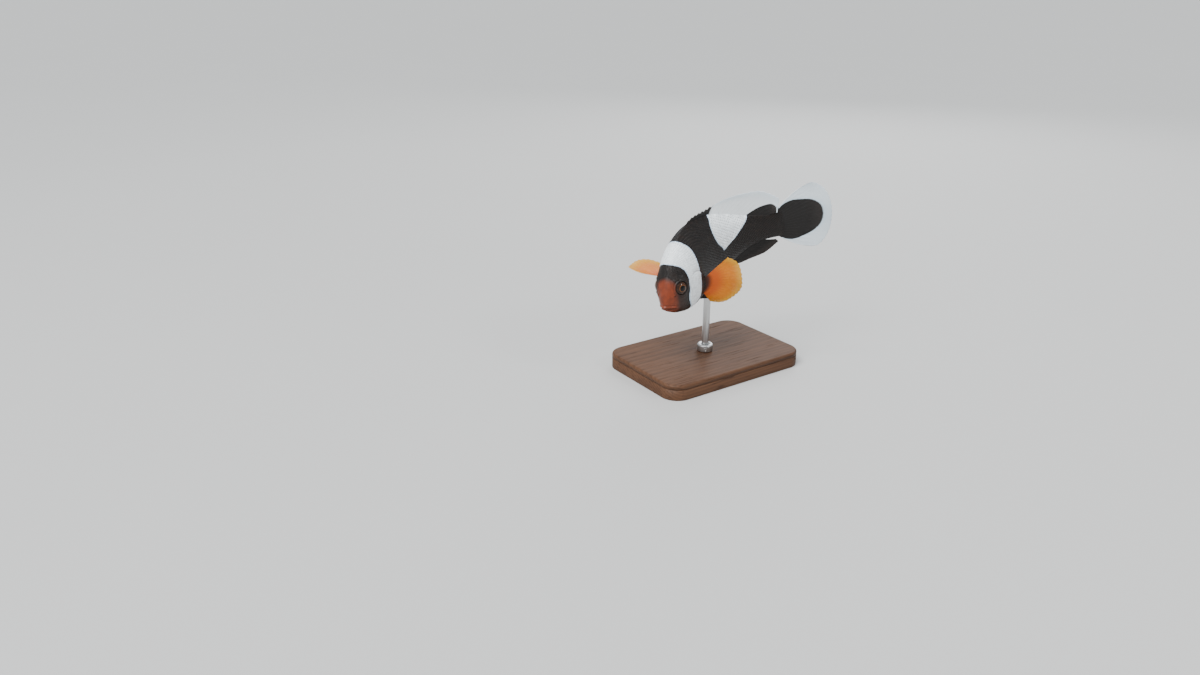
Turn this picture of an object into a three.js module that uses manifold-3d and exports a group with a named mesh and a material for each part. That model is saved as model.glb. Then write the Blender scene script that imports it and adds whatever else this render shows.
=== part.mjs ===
// A saddleback clownfish (Amphiprion polymnus) at life size, turning with its nose down, on a plain stand.
// Millimetres, +Z up. The origin is the centre of the stand's underside, and the fish faces -Y overall.
// The fish is modelled straight, then bent along its spine and set in its pose.
// Straight frame: x is the distance behind the snout tip, y is to the fish's left and z is up.
// It is a left-handed frame, so posing a solid turns the order of its triangles' corners round.
import * as THREE from "three";
import { mergeVertices } from "three/addons/utils/BufferGeometryUtils.js";
import Module from "manifold-3d";

const wasm = await Module();
wasm.setup();

// ---------------------------------------------------------------- driving sizes
const STANDARD_LENGTH = 95; // snout tip to the root of the tail fin
const BODY_DEPTH = 44; // back to belly at the deepest place, without fins
const BODY_WIDTH = 21.5; // across the gill covers
const CUT_GAP = 0.3; // between any two solids that meet
const FIN_EDGE = 0.6; // thickness of a fin at its outer edge
const FIN_ROOT = 1.3; // thickness of a fin where it leaves the body
const EYE_DIAMETER = 8;

// Pose: the heading turns by TURN_DEG between the skull and the tail stem.
const TURN_DEG = -56.5;
const BEND_START = 18;
const BEND_END = 91;
const HEAD_YAW_DEG = -62;
const PITCH_DEG = 21; // nose down
const ROLL_DEG = 3; // left side up

// Stand
const BASE_LENGTH = 96; // along Y
const BASE_WIDTH = 64; // along X
const BASE_HEIGHT = 9;
const BASE_CORNER = 10;
const BASE_BEVEL = 1.2;
const ROD_DIAMETER = 4;
const COLLAR_DIAMETER = 9;
const COLLAR_HEIGHT = 4;
const ROD_STATION = 47; // where the rod meets the belly, behind the snout tip
const BELLY_HEIGHT = 42; // of the belly over the base's top, at the rod

// Mesh fineness
const BODY_RINGS = 36;
const RING_POINTS = 28;

const rad = THREE.MathUtils.degToRad;

// ---------------------------------------------------------------- curves
// A smooth curve through [x, value] pairs, without overshoot (monotone cubic).
function through(pairs) {
  const slopes = pairs.slice(1).map(([x, v], i) => (v - pairs[i][1]) / (x - pairs[i][0]));
  const tangents = pairs.map((_, i) => {
    if (i === 0) return slopes[0];
    if (i === slopes.length) return slopes[i - 1];
    const [a, b] = [slopes[i - 1], slopes[i]];
    return a * b <= 0 ? 0 : (2 * a * b) / (a + b);
  });
  return (x) => {
    if (x <= pairs[0][0]) return pairs[0][1];
    if (x >= pairs.at(-1)[0]) return pairs.at(-1)[1];
    const i = pairs.findIndex(([px]) => px > x) - 1;
    const h = pairs[i + 1][0] - pairs[i][0];
    const t = (x - pairs[i][0]) / h;
    const [t2, t3] = [t * t, t * t * t];
    return (
      (2 * t3 - 3 * t2 + 1) * pairs[i][1] +
      (t3 - 2 * t2 + t) * h * tangents[i] +
      (3 * t2 - 2 * t3) * pairs[i + 1][1] +
      (t3 - t2) * h * tangents[i + 1]
    );
  };
}

const smooth = (t) => {
  const u = THREE.MathUtils.clamp(t, 0, 1);
  return u * u * (3 - 2 * u);
};

// ---------------------------------------------------------------- body shape
// Stations are shares of the standard length; heights are shares of the depth, widths of half the width.
const backHeight = through([
  [0, -0.04], [0.036, 0.115], [0.09, 0.265], [0.16, 0.4], [0.257, 0.5],
  [0.381, 0.535], [0.536, 0.485], [0.69, 0.347], [0.825, 0.219], [0.917, 0.185], [1, 0.196],
]);
const bellyHeight = through([
  [0, -0.085], [0.036, -0.18], [0.09, -0.275], [0.16, -0.365], [0.257, -0.435],
  [0.381, -0.465], [0.536, -0.43], [0.69, -0.321], [0.825, -0.213], [0.917, -0.185], [1, -0.196],
]);
const sideWidth = through([
  [0, 0.13], [0.036, 0.39], [0.09, 0.69], [0.16, 0.9], [0.257, 1],
  [0.381, 0.97], [0.536, 0.8], [0.69, 0.55], [0.825, 0.35], [0.917, 0.26], [1, 0.17],
]);
const NOSE_ROUND = 0.03; // share of the length over which the snout rounds off
const SNOUT_HEIGHT = -0.062; // of the snout tip, a share of the depth
const BELLY_FULLNESS = 0.84; // under 1 the belly is rounder than an ellipse

// Height of the back, height of the belly, half the width and height of the widest line at x.
function section(x, grow = 0) {
  const share = THREE.MathUtils.clamp(x / STANDARD_LENGTH, 0, 1);
  const nose = Math.sqrt(1 - (1 - Math.min(share / NOSE_ROUND, 1)) ** 2);
  const tip = SNOUT_HEIGHT * BODY_DEPTH;
  const back = tip + (backHeight(share) * BODY_DEPTH - tip) * nose + grow;
  const belly = tip + (bellyHeight(share) * BODY_DEPTH - tip) * nose - grow;
  return {
    back,
    belly,
    half: (sideWidth(share) * BODY_WIDTH * nose) / 2 + grow,
    middle: back * 0.42 + belly * 0.58,
  };
}

// A point of the skin at x, at an angle round the section: 0 is left, 90 is the back.
function skinPoint(x, angle, grow = 0) {
  const { back, belly, half, middle } = section(x, grow);
  const [c, s] = [Math.cos(angle), Math.sin(angle)];
  const power = s < 0 ? BELLY_FULLNESS : 1;
  const y = half * Math.sign(c) * Math.abs(c) ** power;
  const z = middle + (s < 0 ? (middle - belly) * -(Math.abs(s) ** power) : (back - middle) * s);
  return new THREE.Vector3(x, y, z);
}

// How far the skin is from the middle plane at x and height z.
function skinHalfWidth(x, z) {
  const { back, belly, half, middle } = section(x);
  const reach = z > middle ? back - middle : middle - belly;
  const power = z > middle ? 1 : BELLY_FULLNESS;
  const s = Math.min(Math.abs(z - middle) / reach, 1) ** (1 / power);
  return half * Math.sqrt(1 - s * s) ** power;
}

// ---------------------------------------------------------------- pose
// The spine as [x, y, heading] each half millimetre behind the snout, from summing its heading.
const SPINE_STEP = 0.5;
const spine = [[0, 0, 0]];
while (spine.length * SPINE_STEP < 140) {
  const along = spine.length * SPINE_STEP;
  const heading = rad(TURN_DEG) * smooth((along - BEND_START) / (BEND_END - BEND_START));
  const [x, y] = spine.at(-1);
  spine.push([x - SPINE_STEP * Math.cos(heading), y - SPINE_STEP * Math.sin(heading), heading]);
}

// From the straight frame to the bent fish, which faces +x before it is turned into its pose.
function bent(point) {
  const at = Math.max(point.x, 0) / SPINE_STEP;
  const i = Math.min(Math.floor(at), spine.length - 2);
  const [x, y, heading] = spine[i].map((v, k) => THREE.MathUtils.lerp(v, spine[i + 1][k], at - i));
  const ahead = Math.max(-point.x, 0);
  return new THREE.Vector3(
    x - point.y * Math.sin(heading) + ahead,
    y + point.y * Math.cos(heading),
    point.z,
  );
}

const turn = new THREE.Matrix4()
  .makeRotationZ(rad(HEAD_YAW_DEG))
  .multiply(new THREE.Matrix4().makeRotationY(rad(PITCH_DEG)))
  .multiply(new THREE.Matrix4().makeRotationX(rad(ROLL_DEG)));

// The belly point at the rod stands over the origin, at its height.
const bellyAtRod = bent(skinPoint(ROD_STATION, rad(-90))).applyMatrix4(turn);
const shift = new THREE.Vector3(0, 0, BASE_HEIGHT + BELLY_HEIGHT).sub(bellyAtRod);
const posed = (point) => bent(point).applyMatrix4(turn).add(shift);

// ---------------------------------------------------------------- solids
// Joins equal vertices and makes a manifold-3d solid.
function solidFrom(geometry) {
  const bare = new THREE.BufferGeometry().setAttribute("position", geometry.getAttribute("position"));
  if (geometry.index) bare.setIndex(geometry.index);
  const merged = mergeVertices(bare, 1e-4);
  return new wasm.Manifold(
    new wasm.Mesh({
      numProp: 3,
      vertProperties: new Float32Array(merged.attributes.position.array),
      triVerts: new Uint32Array(merged.index.array),
    }),
  );
}

function geometryOf(solid) {
  const mesh = solid.getMesh();
  const positions = Array.from({ length: mesh.numVert }, (_, i) =>
    mesh.vertProperties.slice(i * mesh.numProp, i * mesh.numProp + 3),
  );
  const geometry = new THREE.BufferGeometry();
  geometry.setAttribute("position", new THREE.Float32BufferAttribute(positions.flatMap((p) => [...p]), 3));
  geometry.setIndex([...mesh.triVerts]);
  geometry.computeVertexNormals();
  return geometry;
}

// The geometry of a straight solid, bent and set in the pose.
function posedGeometry(solid) {
  const geometry = geometryOf(solid);
  const places = geometry.getAttribute("position");
  for (let i = 0; i < places.count; i++) {
    places.setXYZ(i, ...posed(new THREE.Vector3().fromBufferAttribute(places, i)).toArray());
  }
  geometry.setIndex([...geometry.index.array].reverse());
  geometry.computeVertexNormals();
  return geometry;
}

// A closed solid through rings of equally many points, fanned shut at both ends.
function loft(rings) {
  const n = rings[0].length;
  const ends = [rings[0], rings.at(-1)].map((ring) =>
    ring.reduce((sum, p) => sum.add(p), new THREE.Vector3()).divideScalar(n),
  );
  const positions = [...rings.flat(), ...ends].flatMap((p) => p.toArray());
  const index = [];
  rings.slice(1).forEach((_, r) => {
    for (let k = 0; k < n; k++) {
      const [a, b] = [r * n + k, r * n + ((k + 1) % n)];
      index.push(a, b, b + n, a, b + n, a + n);
    }
  });
  const [first, last] = [rings.length * n, rings.length * n + 1];
  for (let k = 0; k < n; k++) {
    const next = (k + 1) % n;
    const tail = (rings.length - 1) * n;
    index.push(first, next, k);
    index.push(last, tail + k, tail + next);
  }
  const geometry = new THREE.BufferGeometry();
  geometry.setAttribute("position", new THREE.Float32BufferAttribute(positions, 3));
  geometry.setIndex(index);
  const made = solidFrom(geometry);
  if (made.volume() > 0) return made;
  geometry.setIndex(index.map((_, i) => index[i - (i % 3) + 2 - (i % 3)]));
  return solidFrom(geometry);
}

// The whole body, thicker by grow all round.
function bodySolid(grow = 0) {
  const rings = [];
  for (let r = 0; r <= BODY_RINGS; r++) {
    const share = r / BODY_RINGS;
    const x = STANDARD_LENGTH * (0.0015 + 0.9985 * (0.35 * share ** 2 + 0.65 * share) ** 1.15);
    const ring = [];
    for (let k = 0; k < RING_POINTS; k++) {
      ring.push(skinPoint(x, (k / RING_POINTS) * 2 * Math.PI, grow));
    }
    rings.push(ring);
  }
  if (grow > 0) {
    for (const p of rings[0]) p.x -= grow;
    for (const p of rings.at(-1)) p.x += grow;
  }
  return loft(rings);
}

// A prism of an outline in the x-z plane, from y = low to y = high.
function prism(outline, low, high) {
  const shape = new THREE.Shape(outline.map(([x, z]) => new THREE.Vector2(x, z)));
  const geometry = new THREE.ExtrudeGeometry(shape, {
    depth: high - low,
    bevelEnabled: false,
    steps: 1,
  });
  geometry.rotateX(Math.PI / 2);
  geometry.translate(0, high, 0);
  return solidFrom(geometry);
}

// A smooth closed outline through a few points, as a list of [x, z].
function roundOutline(points, pieces) {
  const curve = new THREE.CatmullRomCurve3(
    points.map(([x, z]) => new THREE.Vector3(x, z, 0)),
    true,
    "centripetal",
  );
  return curve.getPoints(pieces).slice(0, -1).map((p) => [p.x, p.y]);
}

// The outline moved outwards by grow, for an outline that runs anticlockwise.
function grown(outline, grow) {
  return outline.map(([x, z], i) => {
    const [ax, az] = outline.at(i - 1);
    const [bx, bz] = outline[(i + 1) % outline.length];
    const length = Math.hypot(bx - ax, bz - az);
    return [x + (grow * (bz - az)) / length, z - (grow * (bx - ax)) / length];
  });
}

// ---------------------------------------------------------------- head pieces
const L = STANDARD_LENGTH;
const D = BODY_DEPTH;
const COVER_LIFT = 0.35; // of the gill cover above the skin behind it
const COVER_THICK = 1.7;
const ISTHMUS = 1.4; // half the throat's width between the gill covers
const NECK = 0.262 * L; // the head ends here, under the rear of the gill cover

// The gill cover's edge, anticlockwise in x-z.
const coverOutline = roundOutline(
  [
    [0.171 * L, 0.05 * D], [0.166 * L, -0.12 * D], [0.153 * L, -0.23 * D], [0.153 * L, -0.305 * D],
    [0.196 * L, -0.33 * D], [0.247 * L, -0.265 * D], [0.287 * L, -0.14 * D], [0.296 * L, -0.02 * D],
    [0.274 * L, 0.09 * D], [0.211 * L, 0.13 * D],
  ],
  24,
);

// The lower jaw, under the gape and ahead of the throat.
const MOUTH_CORNER = [0.046 * L, -0.13 * D];
const jawOutline = [
  [-0.02 * L, SNOUT_HEIGHT * D - 0.012 * D],
  [-0.02 * L, -0.5 * D],
  [0.117 * L, -0.5 * D],
  [0.106 * L, -0.25 * D],
  MOUTH_CORNER,
];

const body = bodySolid();
const bodyRoom = bodySolid(CUT_GAP); // what meets the body keeps out of this
const bodyLifted = bodySolid(COVER_LIFT);
const liftedRoom = bodySolid(COVER_LIFT + CUT_GAP); // what meets the gill covers keeps out of this
const bodyCore = bodySolid(-COVER_THICK);
const bodyPocket = bodySolid(-COVER_THICK - CUT_GAP);
const SIDES = { left: 1, right: -1 };

const slab = (from, to) => prism([[from, -D], [to, -D], [to, D], [from, D]], -D, D);
const mirrored = (low, high, side) => (side > 0 ? [low, high] : [-high, -low]);
const coverPrism = (grow, side) =>
  prism(grown(coverOutline, grow), ...mirrored(ISTHMUS - grow, D, side));

const EYE_X = 0.102 * L;
const EYE_Z = 0.1 * D;
const EYE_FLATNESS = 0.62; // depth of the eye over its width
const EYE_SINK = 1.45; // of the eye's centre under the skin

// The way the eye looks: straight out from the skin of its side.
function eyeAxis(side) {
  const step = 1;
  const ahead = skinHalfWidth(EYE_X + step, EYE_Z) - skinHalfWidth(EYE_X - step, EYE_Z);
  const above = skinHalfWidth(EYE_X, EYE_Z + step) - skinHalfWidth(EYE_X, EYE_Z - step);
  return new THREE.Vector3(-ahead, 2 * step * side, -above).normalize();
}

function eyeSolid(side, grow = 0) {
  const ball = new THREE.SphereGeometry(EYE_DIAMETER / 2 + grow, 16, 12);
  ball.scale(1, EYE_FLATNESS, 1);
  const axis = eyeAxis(side);
  ball.applyQuaternion(new THREE.Quaternion().setFromUnitVectors(new THREE.Vector3(0, side, 0), axis));
  const centre = new THREE.Vector3(EYE_X, side * skinHalfWidth(EYE_X, EYE_Z), EYE_Z);
  ball.translate(...centre.addScaledVector(axis, -EYE_SINK).toArray());
  return solidFrom(ball);
}

// ---------------------------------------------------------------- fins
// A plate through a grid of points: rows[i][j] is ray i at share j from root to tip.
function plate(rows, thickness) {
  const [m, n] = [rows.length, rows[0].length];
  const at = (i, j) => rows[THREE.MathUtils.clamp(i, 0, m - 1)][THREE.MathUtils.clamp(j, 0, n - 1)];
  const front = [];
  const back = [];
  for (let i = 0; i < m; i++) {
    for (let j = 0; j < n; j++) {
      const across = at(i + 1, j).clone().sub(at(i - 1, j));
      const along = at(i, j + 1).clone().sub(at(i, j - 1));
      const normal = across.cross(along).normalize().multiplyScalar(thickness(i, j) / 2);
      front.push(rows[i][j].clone().add(normal));
      back.push(rows[i][j].clone().sub(normal));
    }
  }
  const positions = [...front, ...back].flatMap((p) => p.toArray());
  const far = m * n;
  const index = [];
  const quad = (a, b, c, d) => index.push(a, b, c, a, c, d);
  for (let i = 0; i < m - 1; i++) {
    for (let j = 0; j < n - 1; j++) {
      const a = i * n + j;
      quad(a, a + n, a + n + 1, a + 1);
      quad(far + a, far + a + 1, far + a + n + 1, far + a + n);
    }
    const [root, tip] = [i * n, i * n + n - 1];
    quad(root, far + root, far + root + n, root + n);
    quad(tip, tip + n, far + tip + n, far + tip);
  }
  for (let j = 0; j < n - 1; j++) {
    const end = (m - 1) * n + j;
    quad(j, j + 1, far + j + 1, far + j);
    quad(end, far + end, far + end + 1, end + 1);
  }
  const geometry = new THREE.BufferGeometry();
  geometry.setAttribute("position", new THREE.Float32BufferAttribute(positions, 3));
  geometry.setIndex(index);
  return solidFrom(geometry);
}

// Rows of points along the rays of a fin: ray(share) gives { root, tip, bow }, where bow is how far
// the ray's middle curves off its straight line.
function rayRows(columns, rows, ray) {
  return Array.from({ length: columns + 1 }, (_, i) => {
    const { root, tip, bow } = ray(i / columns);
    return Array.from({ length: rows + 1 }, (_, j) => {
      const t = j / rows;
      return root
        .clone()
        .lerp(tip, t)
        .addScaledVector(bow, 4 * t * (1 - t));
    });
  });
}

const finThickness = (rows) => (i, j) => THREE.MathUtils.lerp(FIN_ROOT, FIN_EDGE, j / rows);
const ROOT_DEPTH = 1.6; // how far a fin's root starts inside the body, before it is cut back to the skin

// A fin in the middle plane, along the back or the belly.
// lean(share) is degrees behind straight out, reach(share) the ray's length, sway(share) its sideways bow.
function middleFin({ from, to, up, lean, reach, sway, columns, rows = 4 }) {
  const grid = rayRows(columns, rows, (share) => {
    const x = THREE.MathUtils.lerp(from, to, share) * L;
    const { back, belly } = section(x);
    const rootZ = up > 0 ? back - ROOT_DEPTH : belly + ROOT_DEPTH;
    const angle = rad(lean(share));
    const root = new THREE.Vector3(x, 0, rootZ);
    const length = reach(share) + ROOT_DEPTH;
    const tip = new THREE.Vector3(
      x + length * Math.sin(angle),
      sway(share),
      rootZ + up * length * Math.cos(angle),
    );
    return { root, tip, bow: new THREE.Vector3(0, 0, up * length * 0.03) };
  });
  return plate(grid, finThickness(rows)).subtract(bodyRoom);
}

// Spines give the front part of the back fin a saw edge: each column pair is a spine and a notch.
const SPINES = 11;
const spinyReach = through([[0, 2.9], [0.12, 5.2], [0.35, 6.6], [0.6, 6.1], [0.85, 5.7], [1, 6.3]]);
const spinyNotch = (share) => 0.86 + 0.14 * Math.cos(share * (SPINES - 1) * 2 * Math.PI);

const dorsalSpiny = () =>
  middleFin({
    from: 0.252,
    to: 0.569,
    up: 1,
    lean: through([[0, 70], [0.75, 56], [1, 42]]),
    reach: (share) => spinyReach(share) * spinyNotch(share),
    sway: () => 0,
    columns: (SPINES - 1) * 2,
    rows: 2,
  });

const dorsalSoft = () =>
  middleFin({
    from: 0.577,
    to: 0.89,
    up: 1,
    lean: through([[0, 44], [0.46, 56], [0.88, 69], [1, 82]]),
    reach: through([[0, 6.7], [0.27, 14.6], [0.54, 19.6], [0.77, 18.4], [0.91, 12.2], [1, 8.2]]),
    sway: through([[0, 0], [1, 1.2]]),
    columns: 16,
  });

const analFin = () =>
  middleFin({
    from: 0.613,
    to: 0.861,
    up: -1,
    lean: through([[0, 58], [1, 77]]),
    reach: through([[0, 6.2], [0.25, 10.6], [0.55, 14.2], [0.85, 13.4], [1, 9]]),
    sway: through([[0, 0], [1, 1]]),
    columns: 12,
  });

// The tail fin: rays fan out from the end of the body, the outer ones bowed.
const TAIL_SPREAD_DEG = 31;
const TAIL_REACH = 31;
const TAIL_CORNER = 0.2; // how much shorter its outermost rays are
const TAIL_BOW = 2.6;
function tailFin() {
  const rows = 5;
  const rootHalf = section(L).back * 0.92;
  const grid = rayRows(18, rows, (share) => {
    const t = 2 * share - 1;
    const angle = rad(TAIL_SPREAD_DEG) * t;
    const root = new THREE.Vector3(L - 1.2, 0, rootHalf * t);
    const length = TAIL_REACH * (1 - TAIL_CORNER * Math.abs(t) ** 3);
    const tip = root.clone().add(new THREE.Vector3(length * Math.cos(angle), 0, length * Math.sin(angle)));
    return { root, tip, bow: new THREE.Vector3(0, 0, TAIL_BOW * t * Math.abs(t)) };
  });
  return plate(grid, finThickness(rows)).subtract(bodyRoom);
}

// A paired fin: rays fan out in a plane about an axis, which points back degrees behind straight out
// from the fish's side and down degrees under level; roll turns the fan about the axis, and rootRoll
// its root. root is the middle of its root, spread is the fan's half angle, reach(share) the rays' length.
function pairedFin(fin) {
  const { side, root, back, down, roll, rootRoll, rootLength, spread, reach, cup, columns, rows = 4 } = fin;
  const flip = new THREE.Vector3(1, side, 1);
  const axis = new THREE.Vector3(
    Math.sin(rad(back)) * Math.cos(rad(down)),
    Math.cos(rad(back)) * Math.cos(rad(down)),
    -Math.sin(rad(down)),
  );
  const upright = new THREE.Vector3(0, 0, 1).addScaledVector(axis, -axis.z).normalize();
  const wide = upright.clone().applyAxisAngle(axis, rad(roll));
  const rootWay = upright.clone().applyAxisAngle(axis, rad(rootRoll));
  const normal = axis.clone().cross(wide);
  const grid = rayRows(columns, rows, (share) => {
    const t = 2 * share - 1;
    const angle = rad(spread) * t;
    const start = new THREE.Vector3(...root).addScaledVector(rootWay, (rootLength / 2) * t);
    const way = axis.clone().multiplyScalar(Math.cos(angle)).addScaledVector(wide, Math.sin(angle));
    const tip = start.clone().addScaledVector(way, reach(share));
    tip.addScaledVector(normal, cup * (t * t - 0.4));
    return {
      root: start.multiply(flip),
      tip: tip.multiply(flip),
      bow: normal.clone().multiply(flip).multiplyScalar(-cup * 0.35),
    };
  });
  return plate(grid, finThickness(rows)).subtract(liftedRoom);
}

const PECTORAL_X = 0.315 * L;
const PECTORAL_Z = -0.18 * D;
const pectoralReach = through([[0, 11.5], [0.25, 19.5], [0.55, 25.2], [0.8, 25.2], [1, 19.5]]);
const pectoralPose = {
  left: { back: 51, down: 18, roll: -3, rootRoll: -3, spread: 49 }, // swept back
  right: { back: 5, down: -18, roll: -67, rootRoll: -24, spread: 44 }, // held straight out and feathered
};

const pectoralFin = (name) =>
  pairedFin({
    ...pectoralPose[name],
    side: SIDES[name],
    root: [PECTORAL_X, skinHalfWidth(PECTORAL_X, PECTORAL_Z) - 1.4, PECTORAL_Z],
    rootLength: 7.5,
    reach: pectoralReach,
    cup: 1.6,
    columns: 14,
  });

const PELVIC_X = 0.345 * L;
const pelvicReach = through([[0, 20], [0.25, 25], [0.7, 20], [1, 13]]);

const pelvicFin = (name) =>
  pairedFin({
    side: SIDES[name],
    root: [PELVIC_X, 3.4, section(PELVIC_X).belly + 1.8],
    back: 80,
    down: 15,
    roll: 38,
    rootRoll: 38,
    rootLength: 3.6,
    spread: 17,
    reach: pelvicReach,
    cup: 0.8,
    columns: 8,
  });

// ---------------------------------------------------------------- materials
const finish = (color, roughness, metalness = 0) =>
  new THREE.MeshStandardMaterial({ color, roughness, metalness });

const materials = {
  black: finish("#15110f", 0.38),
  snout: finish("#8a3a12", 0.4),
  white: finish("#e6eef2", 0.4),
  orange: finish("#e08a12", 0.42),
  eye: finish("#120b08", 0.08),
  wood: finish("#4a2c19", 0.5),
  steel: finish("#b9bcc0", 0.3, 1),
};

const fish = new THREE.Group();

function addMesh(name, geometry, material) {
  const mesh = new THREE.Mesh(geometry, material);
  mesh.name = name;
  fish.add(mesh);
  return mesh;
}

const addFlesh = (name, solid, material) => addMesh(name, posedGeometry(solid), material);

// ---------------------------------------------------------------- assembly
// Head and trunk share the gill covers' pockets; the lower jaw and the eyes are cut from the head.
const pocket = (side) => coverPrism(CUT_GAP, side).subtract(bodyPocket);
const pockets = pocket(SIDES.left).add(pocket(SIDES.right));
const jaw = body.intersect(prism(jawOutline, -D, D));
const jawRoom = prism(grown(jawOutline, CUT_GAP), -D, D);
const eyeRoom = eyeSolid(SIDES.left, CUT_GAP).add(eyeSolid(SIDES.right, CUT_GAP));
const STEM = 0.865 * L; // the tail stem starts behind the back and anal fins

const head = body.intersect(slab(-L, NECK)).subtract(pockets).subtract(jawRoom).subtract(eyeRoom);
addFlesh("head", head, materials.snout);
addFlesh("lower_jaw", jaw, materials.snout);
for (const [name, side] of Object.entries(SIDES)) {
  const cover = bodyLifted.intersect(coverPrism(0, side)).subtract(bodyCore);
  addFlesh(`gill_cover_${name}`, cover.subtract(eyeRoom), materials.white);
  addFlesh(`eye_${name}`, eyeSolid(side), materials.eye);
}

const trunk = body.intersect(slab(NECK + CUT_GAP, STEM)).subtract(pockets);
addFlesh("trunk", trunk, materials.black);
addFlesh("tail_stem", body.intersect(slab(STEM + CUT_GAP, 2 * L)), materials.black);

addFlesh("back_fin_spiny", dorsalSpiny(), materials.black);
addFlesh("back_fin_soft", dorsalSoft(), materials.white);
addFlesh("anal_fin", analFin(), materials.black);
addFlesh("tail_fin", tailFin(), materials.black);
for (const name of Object.keys(SIDES)) {
  addFlesh(`pectoral_fin_${name}`, pectoralFin(name), materials.orange);
  addFlesh(`pelvic_fin_${name}`, pelvicFin(name), materials.black);
}

// ---------------------------------------------------------------- stand
function standBase() {
  const [x, y] = [BASE_WIDTH / 2 - BASE_BEVEL, BASE_LENGTH / 2 - BASE_BEVEL];
  const r = BASE_CORNER - BASE_BEVEL;
  const shape = new THREE.Shape();
  shape.moveTo(x, -y + r);
  shape.lineTo(x, y - r);
  shape.absarc(x - r, y - r, r, 0, Math.PI / 2);
  shape.lineTo(-x + r, y);
  shape.absarc(-x + r, y - r, r, Math.PI / 2, Math.PI);
  shape.lineTo(-x, -y + r);
  shape.absarc(-x + r, -y + r, r, Math.PI, 1.5 * Math.PI);
  shape.lineTo(x - r, -y);
  shape.absarc(x - r, -y + r, r, 1.5 * Math.PI, 2 * Math.PI);
  const geometry = new THREE.ExtrudeGeometry(shape, {
    depth: BASE_HEIGHT - 2 * BASE_BEVEL,
    bevelThickness: BASE_BEVEL,
    bevelSize: BASE_BEVEL,
    bevelSegments: 2,
    curveSegments: 5,
  });
  geometry.translate(0, 0, BASE_BEVEL);
  return solidFrom(geometry);
}

// A round bar standing on z = low, with a small chamfer at its top.
function bar(diameter, low, high, chamfer = 0) {
  const r = diameter / 2;
  const profile = [[0, low], [r, low], [r, high - chamfer], [r - chamfer, high], [0, high]];
  const points = profile.map((p) => new THREE.Vector2(...p));
  return solidFrom(new THREE.LatheGeometry(points, 20).rotateX(Math.PI / 2));
}

// The rod's top is cut to the belly that it carries.
const bellyRoom = solidFrom(posedGeometry(bodyRoom));
const baseTop = BASE_HEIGHT + CUT_GAP;
const bellyAt = BASE_HEIGHT + BELLY_HEIGHT;
const rodUnderBelly = bar(ROD_DIAMETER, baseTop, bellyAt + ROD_DIAMETER).subtract(bellyRoom);
const rod = rodUnderBelly.decompose().sort((a, b) => a.boundingBox().min[2] - b.boundingBox().min[2])[0];
const collarBore = bar(ROD_DIAMETER + 2 * CUT_GAP, 0, bellyAt);
const collar = bar(COLLAR_DIAMETER, baseTop, baseTop + COLLAR_HEIGHT, 0.8).subtract(collarBore);

addMesh("stand_base", geometryOf(standBase()), materials.wood);
addMesh("stand_rod", geometryOf(rod), materials.steel);
addMesh("stand_collar", geometryOf(collar), materials.steel);

export default fish;
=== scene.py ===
"""A saddleback clownfish at life size, swimming nose down over a plain display stand.

The fish is worked out straight, then bent along its spine and set in its pose.
Straight frame, in millimetres: x is the distance behind the snout tip, y is to the fish's left, z is up.
Meshes are in metres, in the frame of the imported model. Every size is in millimetres unless its name says
otherwise. On the fins, across runs over the rays and along runs from the root, 0, to the edge, 1.
"""

import logging
import math
from collections.abc import Callable, Iterator, Sequence
from dataclasses import dataclass, field
from enum import Enum
from typing import ClassVar

import bpy
import numpy as np
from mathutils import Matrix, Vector


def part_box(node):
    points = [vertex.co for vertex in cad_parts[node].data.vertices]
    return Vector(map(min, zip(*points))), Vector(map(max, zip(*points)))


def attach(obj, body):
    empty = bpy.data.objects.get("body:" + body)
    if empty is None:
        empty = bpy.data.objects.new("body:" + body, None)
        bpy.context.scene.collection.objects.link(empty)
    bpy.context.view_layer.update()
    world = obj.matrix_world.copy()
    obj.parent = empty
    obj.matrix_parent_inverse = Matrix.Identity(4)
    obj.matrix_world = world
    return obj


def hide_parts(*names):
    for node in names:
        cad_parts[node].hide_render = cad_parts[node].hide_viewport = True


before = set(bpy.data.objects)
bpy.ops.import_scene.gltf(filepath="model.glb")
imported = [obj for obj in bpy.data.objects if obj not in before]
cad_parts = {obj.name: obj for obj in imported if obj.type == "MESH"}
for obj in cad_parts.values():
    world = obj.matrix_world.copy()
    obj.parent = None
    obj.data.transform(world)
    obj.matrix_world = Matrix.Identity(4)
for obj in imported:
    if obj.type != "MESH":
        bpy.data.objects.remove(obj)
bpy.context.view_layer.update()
METRE = 0.001  # of a millimetre
BODY = "root"
SIDEWAYS = np.array([0.0, 1.0, 0.0])

log = logging.getLogger("clownfish")
Array = np.ndarray
Arrays = tuple[Array, ...]
Values = Array | float
Pair = tuple[float, float]
Line = tuple[Pair, ...]
Triple = tuple[float, float, float]
Four = tuple[float, float, float, float]
Colour = Four
Faces = list[tuple[int, ...]]
Thing = bpy.types.Object
Material = bpy.types.Material
Node = bpy.types.Node
NodeTree = bpy.types.NodeTree
Socket = bpy.types.NodeSocket
Feed = Socket | float | tuple


class Side(Enum):
    """The two sides of the fish, as the sign of y."""

    LEFT = 1
    RIGHT = -1

    @property
    def word(self) -> str:
        """The side's name in the names of pieces."""
        return self.name.lower()


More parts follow.
